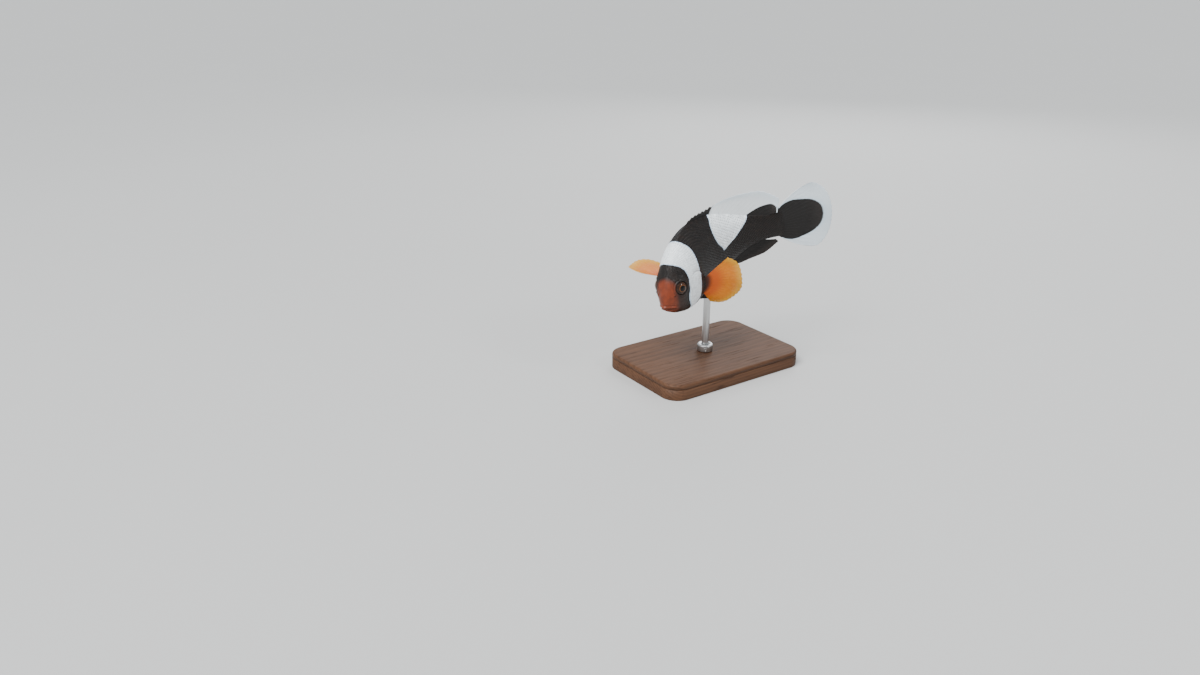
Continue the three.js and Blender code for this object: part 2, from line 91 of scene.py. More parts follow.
# ---- curves and small mathematics
class Curve:
    """A smooth curve through pairs of (x, value) that never overshoots them."""

    def __init__(self, *pairs: Pair) -> None:
        """The curve through its points.

        Args:
            pairs: the points, in order of x.
        """
        self.x, self.value = np.array(pairs, float).T
        slope = np.diff(self.value) / np.diff(self.x)
        inner = [0.0 if a * b <= 0 else 2 * a * b / (a + b) for a, b in zip(slope, slope[1:])]
        self.tangent = np.array([slope[0], *inner, slope[-1]])

    def __call__(self, x: Values) -> Array:
        """The curve's value at x, held level beyond its ends."""
        x = np.clip(np.asarray(x, float), self.x[0], self.x[-1])
        i = np.clip(np.searchsorted(self.x, x, side="right") - 1, 0, len(self.x) - 2)
        h = self.x[i + 1] - self.x[i]
        t = (x - self.x[i]) / h
        start = (2 * t**3 - 3 * t**2 + 1) * self.value[i] + (t**3 - 2 * t**2 + t) * h * self.tangent[i]
        end = (3 * t**2 - 2 * t**3) * self.value[i + 1] + (t**3 - t**2) * h * self.tangent[i + 1]
        return start + end


def ease(x: Values, low: float = 0.0, high: float = 1.0) -> Array:
    """0 below low, 1 above high and a smooth step between them."""
    t = np.clip((np.asarray(x, float) - low) / (high - low), 0, 1)
    return t * t * (3 - 2 * t)


def plateau(x: Values, rise: Sequence[float], fall: Sequence[float]) -> Array:
    """1 between a smooth rise and a smooth fall, each given by its two ends, and 0 outside them."""
    return ease(x, *rise) * (1 - ease(x, *fall))


def bell(x: Array, width: float) -> Array:
    """A bell curve of height 1 round x = 0."""
    return np.exp(-((x / width) ** 2))


def blend(a: Values, b: Values, share: Values) -> Array:
    """a where share is 0, b where it is 1."""
    return a + (b - a) * share


def unit(v: Array) -> Array:
    """v at length 1, along its last axis."""
    return v / np.maximum(np.linalg.norm(v, axis=-1, keepdims=True), 1e-12)


def turned(v: Array, axis: Array, degrees: float) -> Array:
    """v, or every row of it, turned about a unit axis."""
    a = math.radians(degrees)
    share = (v @ axis)[..., None] * (1 - math.cos(a))
    return v * math.cos(a) + np.cross(axis, v) * math.sin(a) + axis * share


def grid_normals(points: Array, wrap: bool) -> Array:
    """Unit normals of a grid of points, by the differences of neighbours.

    Args:
        points: rows by columns by 3.
        wrap: whether the last column meets the first.

    Returns:
        The normals, along the row direction crossed with the column direction.
    """
    down = np.gradient(points, axis=0)
    if wrap:
        across = np.roll(points, -1, axis=1) - np.roll(points, 1, axis=1)
    else:
        across = np.gradient(points, axis=1)
    return unit(np.cross(down, across))


# ---- meshes
def grid_faces(rows: int, columns: int, wrap: bool, first: int = 0) -> Faces:
    """The quads of a grid of vertices, counted row by row from first.

    Args:
        rows, columns: how many there are.
        wrap: whether the last column meets the first.
        first: the number of the first vertex.

    Returns:
        The vertex numbers of each face.
    """
    k = np.arange(columns if wrap else columns - 1)
    r = np.arange(rows - 1)[:, None]
    a, b = r * columns + k, r * columns + (k + 1) % columns
    quads = np.stack([a, b, b + columns, a + columns], -1).reshape(-1, 4) + first
    return [tuple(q) for q in quads.tolist()]


def grid_rim(rows: int, columns: int) -> list[tuple[int, int]]:
    """The edges round a grid of vertices, in order."""
    rim = [*range(columns), *range(2 * columns - 1, rows * columns, columns)]
    rim += [*range(rows * columns - 2, (rows - 1) * columns - 1, -1)]
    rim += [*range((rows - 2) * columns, 0, -columns)]
    return list(zip(rim, rim[1:] + rim[:1]))


def capped_faces(rings: int, spokes: int) -> Faces:
    """The faces of a tube of rings of vertices, shut by one more vertex at its start and one at its end.

    Args:
        rings: how many there are.
        spokes: vertices in a ring.

    Returns:
        The vertex numbers of each face.
    """
    faces = grid_faces(rings, spokes, wrap=True)
    start, last = rings * spokes, (rings - 1) * spokes
    for k in range(spokes):
        after = (k + 1) % spokes
        faces += [(start, after, k), (start + 1, last + k, last + after)]
    return faces


def circle(radius: float | Array, height: float, sides: int) -> Array:
    """The corners of a level circle round z, or of another outline by its radii."""
    turn = np.linspace(0, 2 * math.pi, sides, endpoint=False)
    return np.stack([radius * np.cos(turn), radius * np.sin(turn), np.full(sides, height)], -1)


def quarter(x: float, y: float, radius: float, start_deg: float, steps: int) -> list[Pair]:
    """Points of a quarter circle round x and y, from start_deg on."""
    turn = np.radians(start_deg) + np.linspace(0, math.pi / 2, steps)
    return [(x + radius * math.cos(a), y + radius * math.sin(a)) for a in turn]


def facing_out(points: Array, faces: Faces) -> Faces:
    """The faces of a closed mesh, turned round if they enclose a negative volume."""
    triangles = np.array([(f[0], f[i], f[i + 1]) for f in faces for i in range(1, len(f) - 1)])
    a, b, c = (points[triangles[:, k]] - points.mean(0) for k in range(3))
    if np.einsum("ij,ij->", a, np.cross(b, c)) > 0:
        return faces
    return [f[::-1] for f in faces]


def new_object(
    name: str, points: Array, faces: Sequence = (), edges: Sequence = (), **attributes: Array
) -> Thing:
    """A linked mesh object, shaded smooth.

    Args:
        name: of the object and of its mesh.
        points: vertices in metres.
        faces: lists of vertex numbers.
        edges: pairs of vertex numbers, for a mesh without faces.
        attributes: numbers or vectors to store at the vertices, by name.

    Returns:
        The object, at the origin.
    """
    mesh = bpy.data.meshes.new(name)
    mesh.from_pydata(np.asarray(points, float).tolist(), list(edges), list(faces))
    mesh.polygons.foreach_set("use_smooth", np.ones(len(mesh.polygons), bool))
    for label, values in attributes.items():
        sort, key = ("FLOAT_VECTOR", "vector") if values.ndim == 2 else ("FLOAT", "value")
        layer = mesh.attributes.new(label, sort, "POINT")
        layer.data.foreach_set(key, values.astype(np.float32).ravel())
    made = bpy.data.objects.new(name, mesh)
    bpy.context.scene.collection.objects.link(made)
    return made


def put_uv(made: Thing, name: str, at_vertex: Array) -> None:
    """Stores a UV map that is given at the vertices."""
    mesh = made.data
    corners = np.empty(len(mesh.loops), int)
    mesh.loops.foreach_get("vertex_index", corners)
    mesh.uv_layers.new(name=name).data.foreach_set("uv", at_vertex[corners].astype(np.float32).ravel())


def hand_over(piece: Thing, replaced: Sequence[str], material: Material | None = None) -> None:
    """Rides a finished piece on the body and hides the solids that it stands for.

    Args:
        piece: the finished piece.
        replaced: the solids that it stands for.
        material: its material, unless it has one.
    """
    if material:
        piece.data.materials.append(material)
    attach(piece, BODY)
    if replaced:
        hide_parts(*replaced)
    log.info("%s: %d faces", piece.name, len(piece.data.polygons))


# ---- node trees
class Tree:
    """Short calls that fill a node tree."""

    source: Sequence[Socket]  # a group's inputs
    sink: Node  # and its end

    def __init__(self, tree: NodeTree) -> None:
        """Starts on the tree to fill."""
        self.tree = tree

    @classmethod
    def group(
        cls, name: str, kind: str, inputs: dict[str, tuple[str, object]], outputs: dict[str, str]
    ) -> "Tree":
        """A new node group with named sockets.

        Args:
            name: of the group.
            kind: ShaderNodeTree or GeometryNodeTree.
            inputs: each socket's type and default value, which may be None.
            outputs: each socket's type.

        Returns:
            The tree, with the sockets of its inputs in source and its end in sink.
        """
        made = cls(bpy.data.node_groups.new(name, kind))
        for label, (sort, default) in inputs.items():
            socket = made.tree.interface.new_socket(label, in_out="INPUT", socket_type=f"NodeSocket{sort}")
            if default is not None:
                socket.default_value = default
        for label, sort in outputs.items():
            made.tree.interface.new_socket(label, in_out="OUTPUT", socket_type=f"NodeSocket{sort}")
        made.source = made.add("NodeGroupInput").outputs
        made.sink = made.add("NodeGroupOutput")
        return made

    def feed(self, node: Node, feeds: dict[str | int, Feed]) -> None:
        """Links a node's inputs to other sockets, or sets their values.

        Args:
            node: the node.
            feeds: a value or a socket for inputs, by name or number.
        """
        for key, value in feeds.items():
            if isinstance(value, Socket):
                self.tree.links.new(value, node.inputs[key])
            else:
                node.inputs[key].default_value = value

    def add(self, kind: str, feeds: dict[str | int, Feed] | None = None, **settings: object) -> Node:
        """Adds a node, with its settings and what feeds its inputs.

        Args:
            kind: the node's type.
            feeds: a value or a socket for inputs, by name or number.
            settings: the node's own properties.

        Returns:
            The node.
        """
        node = self.tree.nodes.new(kind)
        for key, value in settings.items():
            setattr(node, key, value)
        self.feed(node, feeds or {})
        return node

    def math(self, operation: str, *values: Feed) -> Socket:
        """The result of a Math node."""
        node = self.add("ShaderNodeMath", dict(enumerate(values)), operation=operation)
        return node.outputs[0]

    def plus(self, a: Feed, b: Feed) -> Socket:
        """a + b."""
        return self.math("ADD", a, b)

    def minus(self, a: Feed, b: Feed) -> Socket:
        """a - b."""
        return self.math("SUBTRACT", a, b)

    def times(self, a: Feed, b: Feed) -> Socket:
        """a times b."""
        return self.math("MULTIPLY", a, b)

    def absolute(self, a: Feed) -> Socket:
        """The size of a, without its sign."""
        return self.math("ABSOLUTE", a)

    def times_plus(self, a: Feed, b: Feed, c: Feed) -> Socket:
        """a times b, plus c."""
        return self.math("MULTIPLY_ADD", a, b, c)

    def vector(self, operation: str, *values: Feed, **named: Feed) -> Socket:
        """The vector result of a Vector Math node."""
        feeds = dict(enumerate(values)) | named
        return self.add("ShaderNodeVectorMath", feeds, operation=operation).outputs[0]

    def step(self, value: Feed, low: float, high: float) -> Socket:
        """A smooth step from 0 at low to 1 at high, or down where high is under low."""
        ends = {"From Min": min(low, high), "From Max": max(low, high)}
        sense = {"To Min": float(low > high), "To Max": float(low < high)}
        feeds = {"Value": value} | ends | sense
        return self.add("ShaderNodeMapRange", feeds, interpolation_type="SMOOTHSTEP").outputs[0]

    def mix(self, share: Feed, a: Feed, b: Feed, blend_type: str = "MIX") -> Socket:
        """A mix of two colours."""
        feeds = {0: share, 6: a, 7: b}
        return self.add("ShaderNodeMix", feeds, data_type="RGBA", blend_type=blend_type).outputs[2]

    def level(self, share: Feed, low: float, high: float) -> Socket:
        """A number from low, where share is 0, to high, where it is 1."""
        return self.times_plus(share, high - low, low)

    def curve(self, value: Feed, points: Sequence[Pair]) -> Socket:
        """A smooth curve of value through points, level beyond its ends.

        Args:
            value: what the curve is over.
            points: pairs of value and result, in order.

        Returns:
            The curve's result.
        """
        x0, x1 = points[0][0], points[-1][0]
        low, high = min(p[1] for p in points), max(p[1] for p in points)
        place = self.add("ShaderNodeMapRange", {"Value": value, "From Min": x0, "From Max": x1}).outputs[0]
        node = self.add("ShaderNodeFloatCurve", {"Value": place})
        knots = node.mapping.curves[0].points
        spots = [((x - x0) / (x1 - x0), (y - low) / (high - low)) for x, y in points]
        knots[0].location, knots[-1].location = spots[0], spots[-1]
        for spot in spots[1:-1]:
            knots.new(*spot)
        node.mapping.update()
        return self.level(node.outputs[0], low, high)

    def read(self, name: str, output: str = "Vector") -> Socket:
        """A stored attribute of the mesh, in a material: its Vector, or its Fac where it is a number."""
        return self.add("ShaderNodeAttribute", attribute_name=name).outputs[output]

    def object_place(self) -> Socket:
        """The place on the object, in metres, in a material."""
        return self.add("ShaderNodeTexCoord").outputs["Object"]

    def stored(self, name: str, sort: str = "FLOAT_VECTOR") -> Socket:
        """A stored attribute of the geometry that is worked on, in a geometry tree."""
        return self.add("GeometryNodeInputNamedAttribute", {"Name": name}, data_type=sort).outputs[0]

    def store(
        self, geometry: Feed, name: str, value: Feed, sort: str = "FLOAT_VECTOR", domain: str = "POINT"
    ) -> Socket:
        """The geometry with a value stored on it."""
        feeds = {"Geometry": geometry, "Name": name, "Value": value}
        return self.add("GeometryNodeStoreNamedAttribute", feeds, data_type=sort, domain=domain).outputs[0]

    def dressed(self, geometry: Feed, material: Feed) -> NodeTree:
        """The geometry tree, whose result is the geometry with its material."""
        feeds = {"Geometry": geometry, "Material": material}
        return self.result({"Geometry": self.add("GeometryNodeSetMaterial", feeds).outputs[0]})

    def result(self, outputs: dict[str, Feed]) -> NodeTree:
        """The finished group, with its outputs fed by name."""
        self.feed(self.sink, outputs)
        return self.tree

    def join(self, **numbers: Feed) -> Socket:
        """A vector of numbers named X, Y and Z."""
        return self.add("ShaderNodeCombineXYZ", numbers).outputs[0]

    def split(self, vector: Feed) -> Sequence[Socket]:
        """The three numbers of a vector."""
        return self.add("ShaderNodeSeparateXYZ", {0: vector}).outputs

    def noise(self, place: Feed, scale: Feed, detail: Feed = 2.0, rough: float = 0.5) -> Socket:
        """Noise from 0 to 1 at a place."""
        feeds = {"Vector": place, "Scale": scale, "Detail": detail, "Roughness": rough}
        return self.add("ShaderNodeTexNoise", feeds).outputs[0]

    def use(self, group: NodeTree, feeds: dict[str, Feed]) -> Sequence[Socket]:
        """The outputs of a node group, fed by name.

        Args:
            group: the group.
            feeds: a value or a socket for its inputs, by name.

        Returns:
            Its outputs, in order.
        """
        node = self.tree.nodes.new(f"{self.tree.bl_idname.removesuffix('Tree')}Group")
        node.node_tree = group
        self.feed(node, feeds)
        return node.outputs


# ---- the fish's shape
@dataclass(frozen=True)
class Shape:
    """The straight body. Stations are shares of the length, heights shares of the depth."""

    length: float = 95.0
    depth: float = 44.0
    width: float = 21.5
    nose_round: float = 0.03
    snout_height: float = -0.062
    belly_fullness: float = 0.84
    middle_share: float = 0.42
    root_end: float = 98.6  # the scaly foot of the tail fin ends here
    root_half: float = 0.16  # half its width there
    root_run: float = 1.5  # over which it thins to that, from this far before the length's end
    root_flare: float = 0.25  # how fast it grows in height
    eye: Pair = (0.102, 0.1)  # station and height
    breast_fin: Pair = (0.315, -0.18)
    pelvic_fin: float = 0.345
    back_fin: Pair = (0.252, 0.89)  # from and to
    anal_fin: Pair = (0.613, 0.861)
    back: Curve = Curve(
        (0, -0.04), (0.036, 0.115), (0.09, 0.265), (0.16, 0.4), (0.257, 0.5), (0.381, 0.535),
        (0.536, 0.485), (0.69, 0.347), (0.825, 0.219), (0.917, 0.185), (1, 0.196),
    )
    belly: Curve = Curve(
        (0, -0.085), (0.036, -0.18), (0.09, -0.275), (0.16, -0.365), (0.257, -0.435), (0.381, -0.465),
        (0.536, -0.43), (0.69, -0.321), (0.825, -0.213), (0.917, -0.185), (1, -0.196),
    )
    side: Curve = Curve(
        (0, 0.13), (0.036, 0.39), (0.09, 0.69), (0.16, 0.9), (0.257, 1), (0.381, 0.97),
        (0.536, 0.8), (0.69, 0.55), (0.825, 0.35), (0.917, 0.26), (1, 0.17),
    )

    def section(self, x: Values) -> Arrays:
        """Height of the back, height of the belly, half the width and height of the widest line at x.

        Args:
            x: distances behind the snout tip.

        Returns:
            The four measures there.
        """
        share = np.clip(np.asarray(x, float) / self.length, 0, 1)
        nose = np.sqrt(1 - (1 - np.minimum(share / self.nose_round, 1)) ** 2)
        tip = self.snout_height * self.depth
        flare = self.root_flare * np.maximum(np.asarray(x, float) - self.length, 0)
        back = tip + (self.back(share) * self.depth - tip) * nose + flare
        belly = tip + (self.belly(share) * self.depth - tip) * nose - flare
        half = self.side(share) * self.width * nose / 2
        half = blend(half, self.root_half, ease(x, self.length - self.root_run, self.root_end))
        return back, belly, half, blend(belly, back, self.middle_share)

    def spot(self, shares: Pair) -> Pair:
        """The x and z of a place that is given in shares of the length and of the depth."""
        return shares[0] * self.length, shares[1] * self.depth

    def run(self, ends: Pair) -> Pair:
        """The ends in x of a run that is given in shares of the length."""
        return ends[0] * self.length, ends[1] * self.length

    def skin(self, x: Values, angle: Values) -> Array:
        """Points of the skin at x, at angles round the section: 0 is left, a quarter turn the back.

        Args:
            x: distances behind the snout tip.
            angle: in radians.

        Returns:
            The points in the straight frame.
        """
        x, angle = np.asarray(x, float), np.asarray(angle, float)
        back, belly, half, middle = self.section(x)
        c, s = np.cos(angle), np.sin(angle)
        power = np.where(s < 0, self.belly_fullness, 1.0)
        y = half * np.sign(c) * np.abs(c) ** power
        z = middle + np.where(s < 0, (belly - middle) * np.abs(s) ** power, (back - middle) * s)
        return np.stack([x + 0 * y, y, z], -1)

    def half_width(self, x: Values, z: Values) -> Array:
        """How far the skin is from the middle plane at x and height z."""
        back, belly, half, middle = self.section(x)
        reach = np.where(z > middle, back - middle, middle - belly)
        power = np.where(z > middle, 1.0, self.belly_fullness)
        s = np.minimum(np.abs(z - middle) / reach, 1) ** (1 / power)
        return half * np.sqrt(1 - s * s) ** power


@dataclass(frozen=True)
class Posture:
    """The bend of the spine and the stance over the stand."""

    shape: Shape
    turn_deg: float = -56.5
    bend_start: float = 18.0
    bend_end: float = 91.0
    yaw_deg: float = -62.0
    pitch_deg: float = 21.0
    roll_deg: float = 3.0
    rod_station: float = 47.0
    belly_height: float = 51.0  # of the belly over the floor, at the rod
    spine_length: float = 140.0
    step: float = 0.5

    def spine(self) -> Arrays:
        """Distance behind the snout, x, y and heading of the spine, from summing its heading."""
        along = np.arange(0, self.spine_length + self.step, self.step)
        heading = math.radians(self.turn_deg) * ease(along, self.bend_start, self.bend_end)
        x = np.concatenate([[0], np.cumsum(-self.step * np.cos(heading[1:]))])
        y = np.concatenate([[0], np.cumsum(-self.step * np.sin(heading[1:]))])
        return along, x, y, heading

    def turned_bend(self, points: Array) -> Array:
        """The fish's bend and turns, about the snout.

        Args:
            points: in the straight frame.

        Returns:
            The points, bent and turned.
        """
        along, spine_x, spine_y, spine_heading = self.spine()
        behind = np.maximum(points[..., 0], 0)
        heading = np.interp(behind, along, spine_heading)
        x = np.interp(behind, along, spine_x) - points[..., 1] * np.sin(heading)
        y = np.interp(behind, along, spine_y) + points[..., 1] * np.cos(heading)
        bent = np.stack([x + np.maximum(-points[..., 0], 0), y, points[..., 2]], -1)
        turns = (self.roll_deg, self.pitch_deg, self.yaw_deg)
        for axis, degrees in zip(np.eye(3), turns):
            bent = turned(bent, axis, degrees)
        return bent

    def place(self, points: Array) -> Array:
        """Points of the straight frame in metres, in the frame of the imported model."""
        at_rod = self.turned_bend(self.shape.skin(self.rod_station, -math.pi / 2))
        shift = np.array([0, 0, self.belly_height]) - at_rod
        return (self.turned_bend(np.asarray(points, float)) + shift) * METRE


# ---- the head's landmarks
@dataclass(frozen=True)
class Eye:
    """Where an eye sits, its size and its own mesh."""

    shape: Shape
    side: Side
    diameter: float = 8.0
    flatness: float = 0.62
    sink: float = 1.45
    bulge: float = 0.16
    bulge_width: float = 1.9
    rings: int = 44
    spokes: int = 112
    far: float = 99.0  # what counts as the distance on the other side

    @property
    def station(self) -> float:
        """Its distance behind the snout tip."""
        return self.shape.spot(self.shape.eye)[0]

    @property
    def height(self) -> float:
        """Its height over the midline."""
        return self.shape.spot(self.shape.eye)[1]

    @property
    def axis(self) -> Array:
        """The way the eye looks: straight out from the skin of its side."""
        x, z = self.station, self.height
        ahead = self.shape.half_width(x + 1, z) - self.shape.half_width(x - 1, z)
        above = self.shape.half_width(x, z + 1) - self.shape.half_width(x, z - 1)
        return unit(np.array([-ahead, 2 * self.side.value, -above]))

    @property
    def on_skin(self) -> Array:
        """Where the eye's axis meets the skin."""
        half = self.shape.half_width(self.station, self.height)
        return np.array([self.station, self.side.value * float(half), self.height])

    def distance(self, points: Array) -> Array:
        """How far points are from the eye's axis, and far away on the fish's other side."""
        offset = points - self.on_skin
        beside = offset - (offset @ self.axis)[..., None] * self.axis
        return np.where(points[..., 1] * self.side.value > 0, np.linalg.norm(beside, axis=-1), self.far)

    def build(self, posture: Posture, material: Material) -> None:
        """The eyeball: a flattened ball whose clear front bulges a little more over the pupil.

        Args:
            posture: where the fish is.
            material: the eye's.
        """
        radius = self.diameter / 2
        turn = np.linspace(0, math.pi, self.rings + 2)[1:-1]
        spoke = np.linspace(0, 2 * math.pi, self.spokes, endpoint=False)
        across = radius * np.sin(turn)[:, None]
        bulge = self.bulge * bell(radius * np.sin(turn), self.bulge_width) * (np.cos(turn) > 0)
        out = radius * self.flatness * np.cos(turn) + bulge - self.sink
        front = radius * self.flatness - self.sink + self.bulge
        rear = -radius * self.flatness - self.sink
        deep = np.broadcast_to(out[:, None], (self.rings, self.spokes))
        ball = np.stack([across * np.cos(spoke), across * np.sin(spoke), deep], -1)
        iris = np.vstack([ball.reshape(-1, 3), [[0, 0, front], [0, 0, rear]]])
        first = unit(np.cross(self.axis, [0, 0, 1.0]))
        second = np.cross(self.axis, first)
        points = posture.place(self.on_skin + iris @ np.array([first, second, self.axis]))
        faces = facing_out(points, capped_faces(self.rings, self.spokes))
        made = new_object(f"eyeball_{self.side.word}", points, faces, iris=iris)
        hand_over(made, [f"eye_{self.side.word}"], material)


@dataclass(frozen=True)
class Ridge:
    """A rounded ridge beside a line, or a groove where its height is negative."""

    place: float  # its distance from the line
    height: float
    width: float

    def at(self, distance: Array) -> Array:
        """Its height at distances from the line."""
        return self.height * bell(distance - self.place, self.width)


class Relief:
    """How far the skin stands out over the plain body, and how much shade is painted into its creases, from
    0 to 1.
    """

    def __init__(self, points: Array) -> None:
        """Starts without any relief.

        Args:
            points: of the plain body, in the straight frame.
        """
        self.points = points
        self.x, self.y, self.z = (points[..., k] for k in range(3))
        self.height, self.crease = np.zeros(self.x.shape), np.zeros(self.x.shape)

    def ridges(self, distance: Array, share: Values, *ridges: Ridge) -> None:
        """Adds a share of the height of ridges, at the points' distances from their line."""
        self.height += share * sum(ridge.at(distance) for ridge in ridges)

    def shade(self, *amounts: Array) -> None:
        """Paints shade into the creases, at least so much."""
        for amount in amounts:
            self.crease = np.maximum(self.crease, amount)


@dataclass(frozen=True)
class Head:
    """The head's relief over the plain body: mouth, nostrils, orbits, cheek and gill covers, with painted
    shade in their creases.
    """

    shape: Shape
    gape_front: Pair = (0.0, -3.3)
    gape_corner: Pair = (4.4, -5.7)
    lips: tuple[Ridge, ...] = (Ridge(0.78, 0.5, 0.5), Ridge(-0.74, 0.46, 0.5))
    lip_grooves: tuple[Ridge, ...] = (Ridge(1.75, -0.2, 0.26), Ridge(-1.72, -0.18, 0.26))
    lips_end: Pair = (3.4, 5.8)  # distances along the mouth
    slit_end: Pair = (4.6, 5.9)
    slit: Ridge = Ridge(0.0, -0.75, 0.17)
    corner_fold: Ridge = Ridge(5.9, 0.24, 1.3)  # behind the mouth's corner
    corner_width: float = 1.2
    corner_over: float = -0.2
    fold_end: float = 12.0
    nostril: Pair = (5.1, 1.9)
    nostril_ridges: tuple[Ridge, ...] = (Ridge(0.62, 0.2, 0.24), Ridge(0.0, -0.5, 0.34))
    nostril_shade: Ridge = Ridge(0.0, 1.0, 0.4)
    orbit_rise: Triple = (0.5, 3.9, 7.4)  # height, from and to
    socket_drop: Triple = (1.7, 3.05, 3.72)
    orbit_ridges: tuple[Ridge, ...] = (Ridge(4.02, 0.26, 0.34), Ridge(4.75, -0.1, 0.26))
    orbit_shades: tuple[Ridge, ...] = (Ridge(3.55, 0.85, 0.25), Ridge(4.75, 0.3, 0.2))
    brow: Ridge = Ridge(4.3, 0.2, 1.5)
    brow_length: float = 3.4
    cheek_centre: Pair = (6.5, -2.0)
    cheek_radius: float = 9.2
    cheek_angles: tuple[Pair, Pair] = ((-100, -80), (25, 48))
    cheek_lift: float = 0.2
    cheek_slope: tuple[Pair, Pair] = ((-3.2, -0.15), (-0.12, 0.16))
    cheek_groove: Ridge = Ridge(0.3, -0.1, 0.22)
    cheek_shade: Ridge = Ridge(0.22, 0.35, 0.2)
    inner_groove: Ridge = Ridge(-3.0, -0.14, 0.55)
    inner_heights: tuple[Pair, Pair] = ((-12, -9), (-4.5, -2.5))
    inner_from: float = 8.0
    cover_lift: float = 0.35
    cover_slope: Pair = (-0.16, 0.14)
    cover_from: float = 1.5  # how far behind the cheek's edge the cover starts to stand out
    cover_full: float = 24.0
    cover_groove: Ridge = Ridge(-0.42, -0.16, 0.26)
    cover_shade: Ridge = Ridge(-0.32, 0.6, 0.22)
    comb_height: float = 0.09  # of the fine teeth on the cover's edge
    comb_pitch: float = 1.15
    cover_edge: Line = (
        (0.171, 0.05), (0.166, -0.12), (0.153, -0.23), (0.153, -0.305), (0.196, -0.33),
        (0.247, -0.265), (0.287, -0.14), (0.296, -0.02), (0.274, 0.09), (0.211, 0.13),
    )  # shares of the length and of the depth
    edge_pieces: int = 16  # between two of those points
    throat_depths: Pair = (12.5, 14.5)
    throat_stations: tuple[Pair, Pair] = ((11, 14), (21, 25))
    throat_fold: float = 0.07
    throat_pitch: float = 1.9

    def eyes(self) -> list[Eye]:
        """Both eyes."""
        return [Eye(self.shape, side) for side in Side]

    def gape(self, points: Array) -> Arrays:
        """Height over the line of the mouth, and distance along it from its front."""
        x0, z0 = self.gape_front
        x1, z1 = self.gape_corner
        length = math.hypot(x1 - x0, z1 - z0)
        cx, cz = (x1 - x0) / length, (z1 - z0) / length
        x, z = points[..., 0] - x0, points[..., 2] - z0
        return z * cx - x * cz, x * cx + z * cz

    def cover_outline(self) -> Array:
        """The gill cover's edge as a smooth closed line in x and z.

        Returns:
            Points of the line, rows by 2.
        """
        knots = np.array(self.cover_edge) * (self.shape.length, self.shape.depth)
        before, after, beyond = (np.roll(knots, k, axis=0) for k in (1, -1, -2))
        t = np.linspace(0, 1, self.edge_pieces, endpoint=False)[:, None, None]
        line = 0.5 * (
            2 * knots
            + (after - before) * t
            + (2 * before - 5 * knots + 4 * after - beyond) * t**2
            + (3 * knots - before - 3 * after + beyond) * t**3
        )
        return line.transpose(1, 0, 2).reshape(-1, 2)

    def cover_depth(self, points: Array) -> Array:
        """How far inside the gill cover's edge points are, negative outside it, seen from the side.

        Args:
            points: in the straight frame.

        Returns:
            The distances from the edge.
        """
        line = self.cover_outline()
        flat = points[..., [0, 2]].reshape(-1, 2)
        near = np.linalg.norm(flat[:, None] - line[None], axis=-1).min(1)
        ends = np.roll(line, -1, axis=0)
        crosses = (line[:, 1] > flat[:, 1:]) != (ends[:, 1] > flat[:, 1:])
        rise = np.where(ends[:, 1] == line[:, 1], 1e-9, ends[:, 1] - line[:, 1])
        meet = line[:, 0] + (flat[:, 1:] - line[:, 1]) * (ends[:, 0] - line[:, 0]) / rise
        inside = (crosses & (flat[:, :1] < meet)).sum(1) % 2 == 1
        return np.where(inside, near, -near).reshape(points.shape[:-1])

    def cheek(self, points: Array) -> Arrays:
        """Distance outside the curved rear edge of the cheek plate, and a fade along that edge."""
        x, z = points[..., 0] - self.cheek_centre[0], points[..., 2] - self.cheek_centre[1]
        angle = np.degrees(np.arctan2(z, x))
        return np.hypot(x, z) - self.cheek_radius, plateau(angle, *self.cheek_angles)

    def mouth(self, made: Relief) -> None:
        """Lips, the slit between them, with painted shade in it, and a fold behind its corner."""
        over, behind = self.gape(made.points)
        before_end = 1 - ease(behind, *self.lips_end)
        made.ridges(over, before_end, *self.lips)
        made.ridges(over, before_end, *self.lip_grooves)
        slit = (1 - ease(behind, *self.slit_end)) * bell(over, self.slit.width)
        made.height += self.slit.height * slit
        near = bell(over - self.corner_over, self.corner_width) * (made.x < self.fold_end)
        made.ridges(behind, near, self.corner_fold)
        made.shade(slit)

    def nostrils(self, made: Relief) -> None:
        """A rimmed pit on each side, with painted shade in it."""
        x, z = self.nostril
        for side in Side:
            spot = np.array([x, side.value * float(self.shape.half_width(x, z)), z])
            away = np.linalg.norm(made.points - spot, axis=-1)
            flank = made.y * side.value > 0
            made.ridges(away, flank, *self.nostril_ridges)
            made.shade(flank * self.nostril_shade.at(away))

    def orbits(self, made: Relief) -> None:
        """The sockets of the eyes, with a rim round them, a brow over them and painted shade in the grooves
        round them.
        """
        for eye in self.eyes():
            away = eye.distance(made.points)
            for (height, low, high), sense in ((self.orbit_rise, 1), (self.socket_drop, -1)):
                made.height += sense * height * (1 - ease(away, low, high))
            made.ridges(away, 1.0, *self.orbit_ridges)
            near = bell(made.x - eye.station, self.brow_length) * (made.y * eye.side.value > 0)
            made.ridges(made.z - eye.height, near, self.brow)
            made.shade(*(ridge.at(away) for ridge in self.orbit_shades))

    def cheek_plate(self, made: Relief) -> None:
        """The cheek plate's raised rear edge, the groove inside it and painted shade along the edge."""
        out, fade = self.cheek(made.points)
        made.height += fade * self.cheek_lift * plateau(out, *self.cheek_slope)
        made.ridges(out, fade, self.cheek_groove)
        made.shade(fade * self.cheek_shade.at(out))
        inner = plateau(made.z, *self.inner_heights) * (made.x > self.inner_from)
        made.ridges(out, inner, self.inner_groove)

    def gill_covers(self, made: Relief) -> None:
        """The raised gill covers and the crease round their rear edge, with painted shade in it."""
        deep = self.cover_depth(made.points)
        comb = self.comb_height * np.sin(made.z * 2 * math.pi / self.comb_pitch)
        start = self.cheek_centre[0] + self.cheek_radius + self.cover_from
        rear = ease(made.x, start, self.cover_full)
        made.height += self.cover_lift * ease(deep + comb, *self.cover_slope) * rear
        made.ridges(deep, rear, self.cover_groove)
        made.shade(rear * self.cover_shade.at(deep))

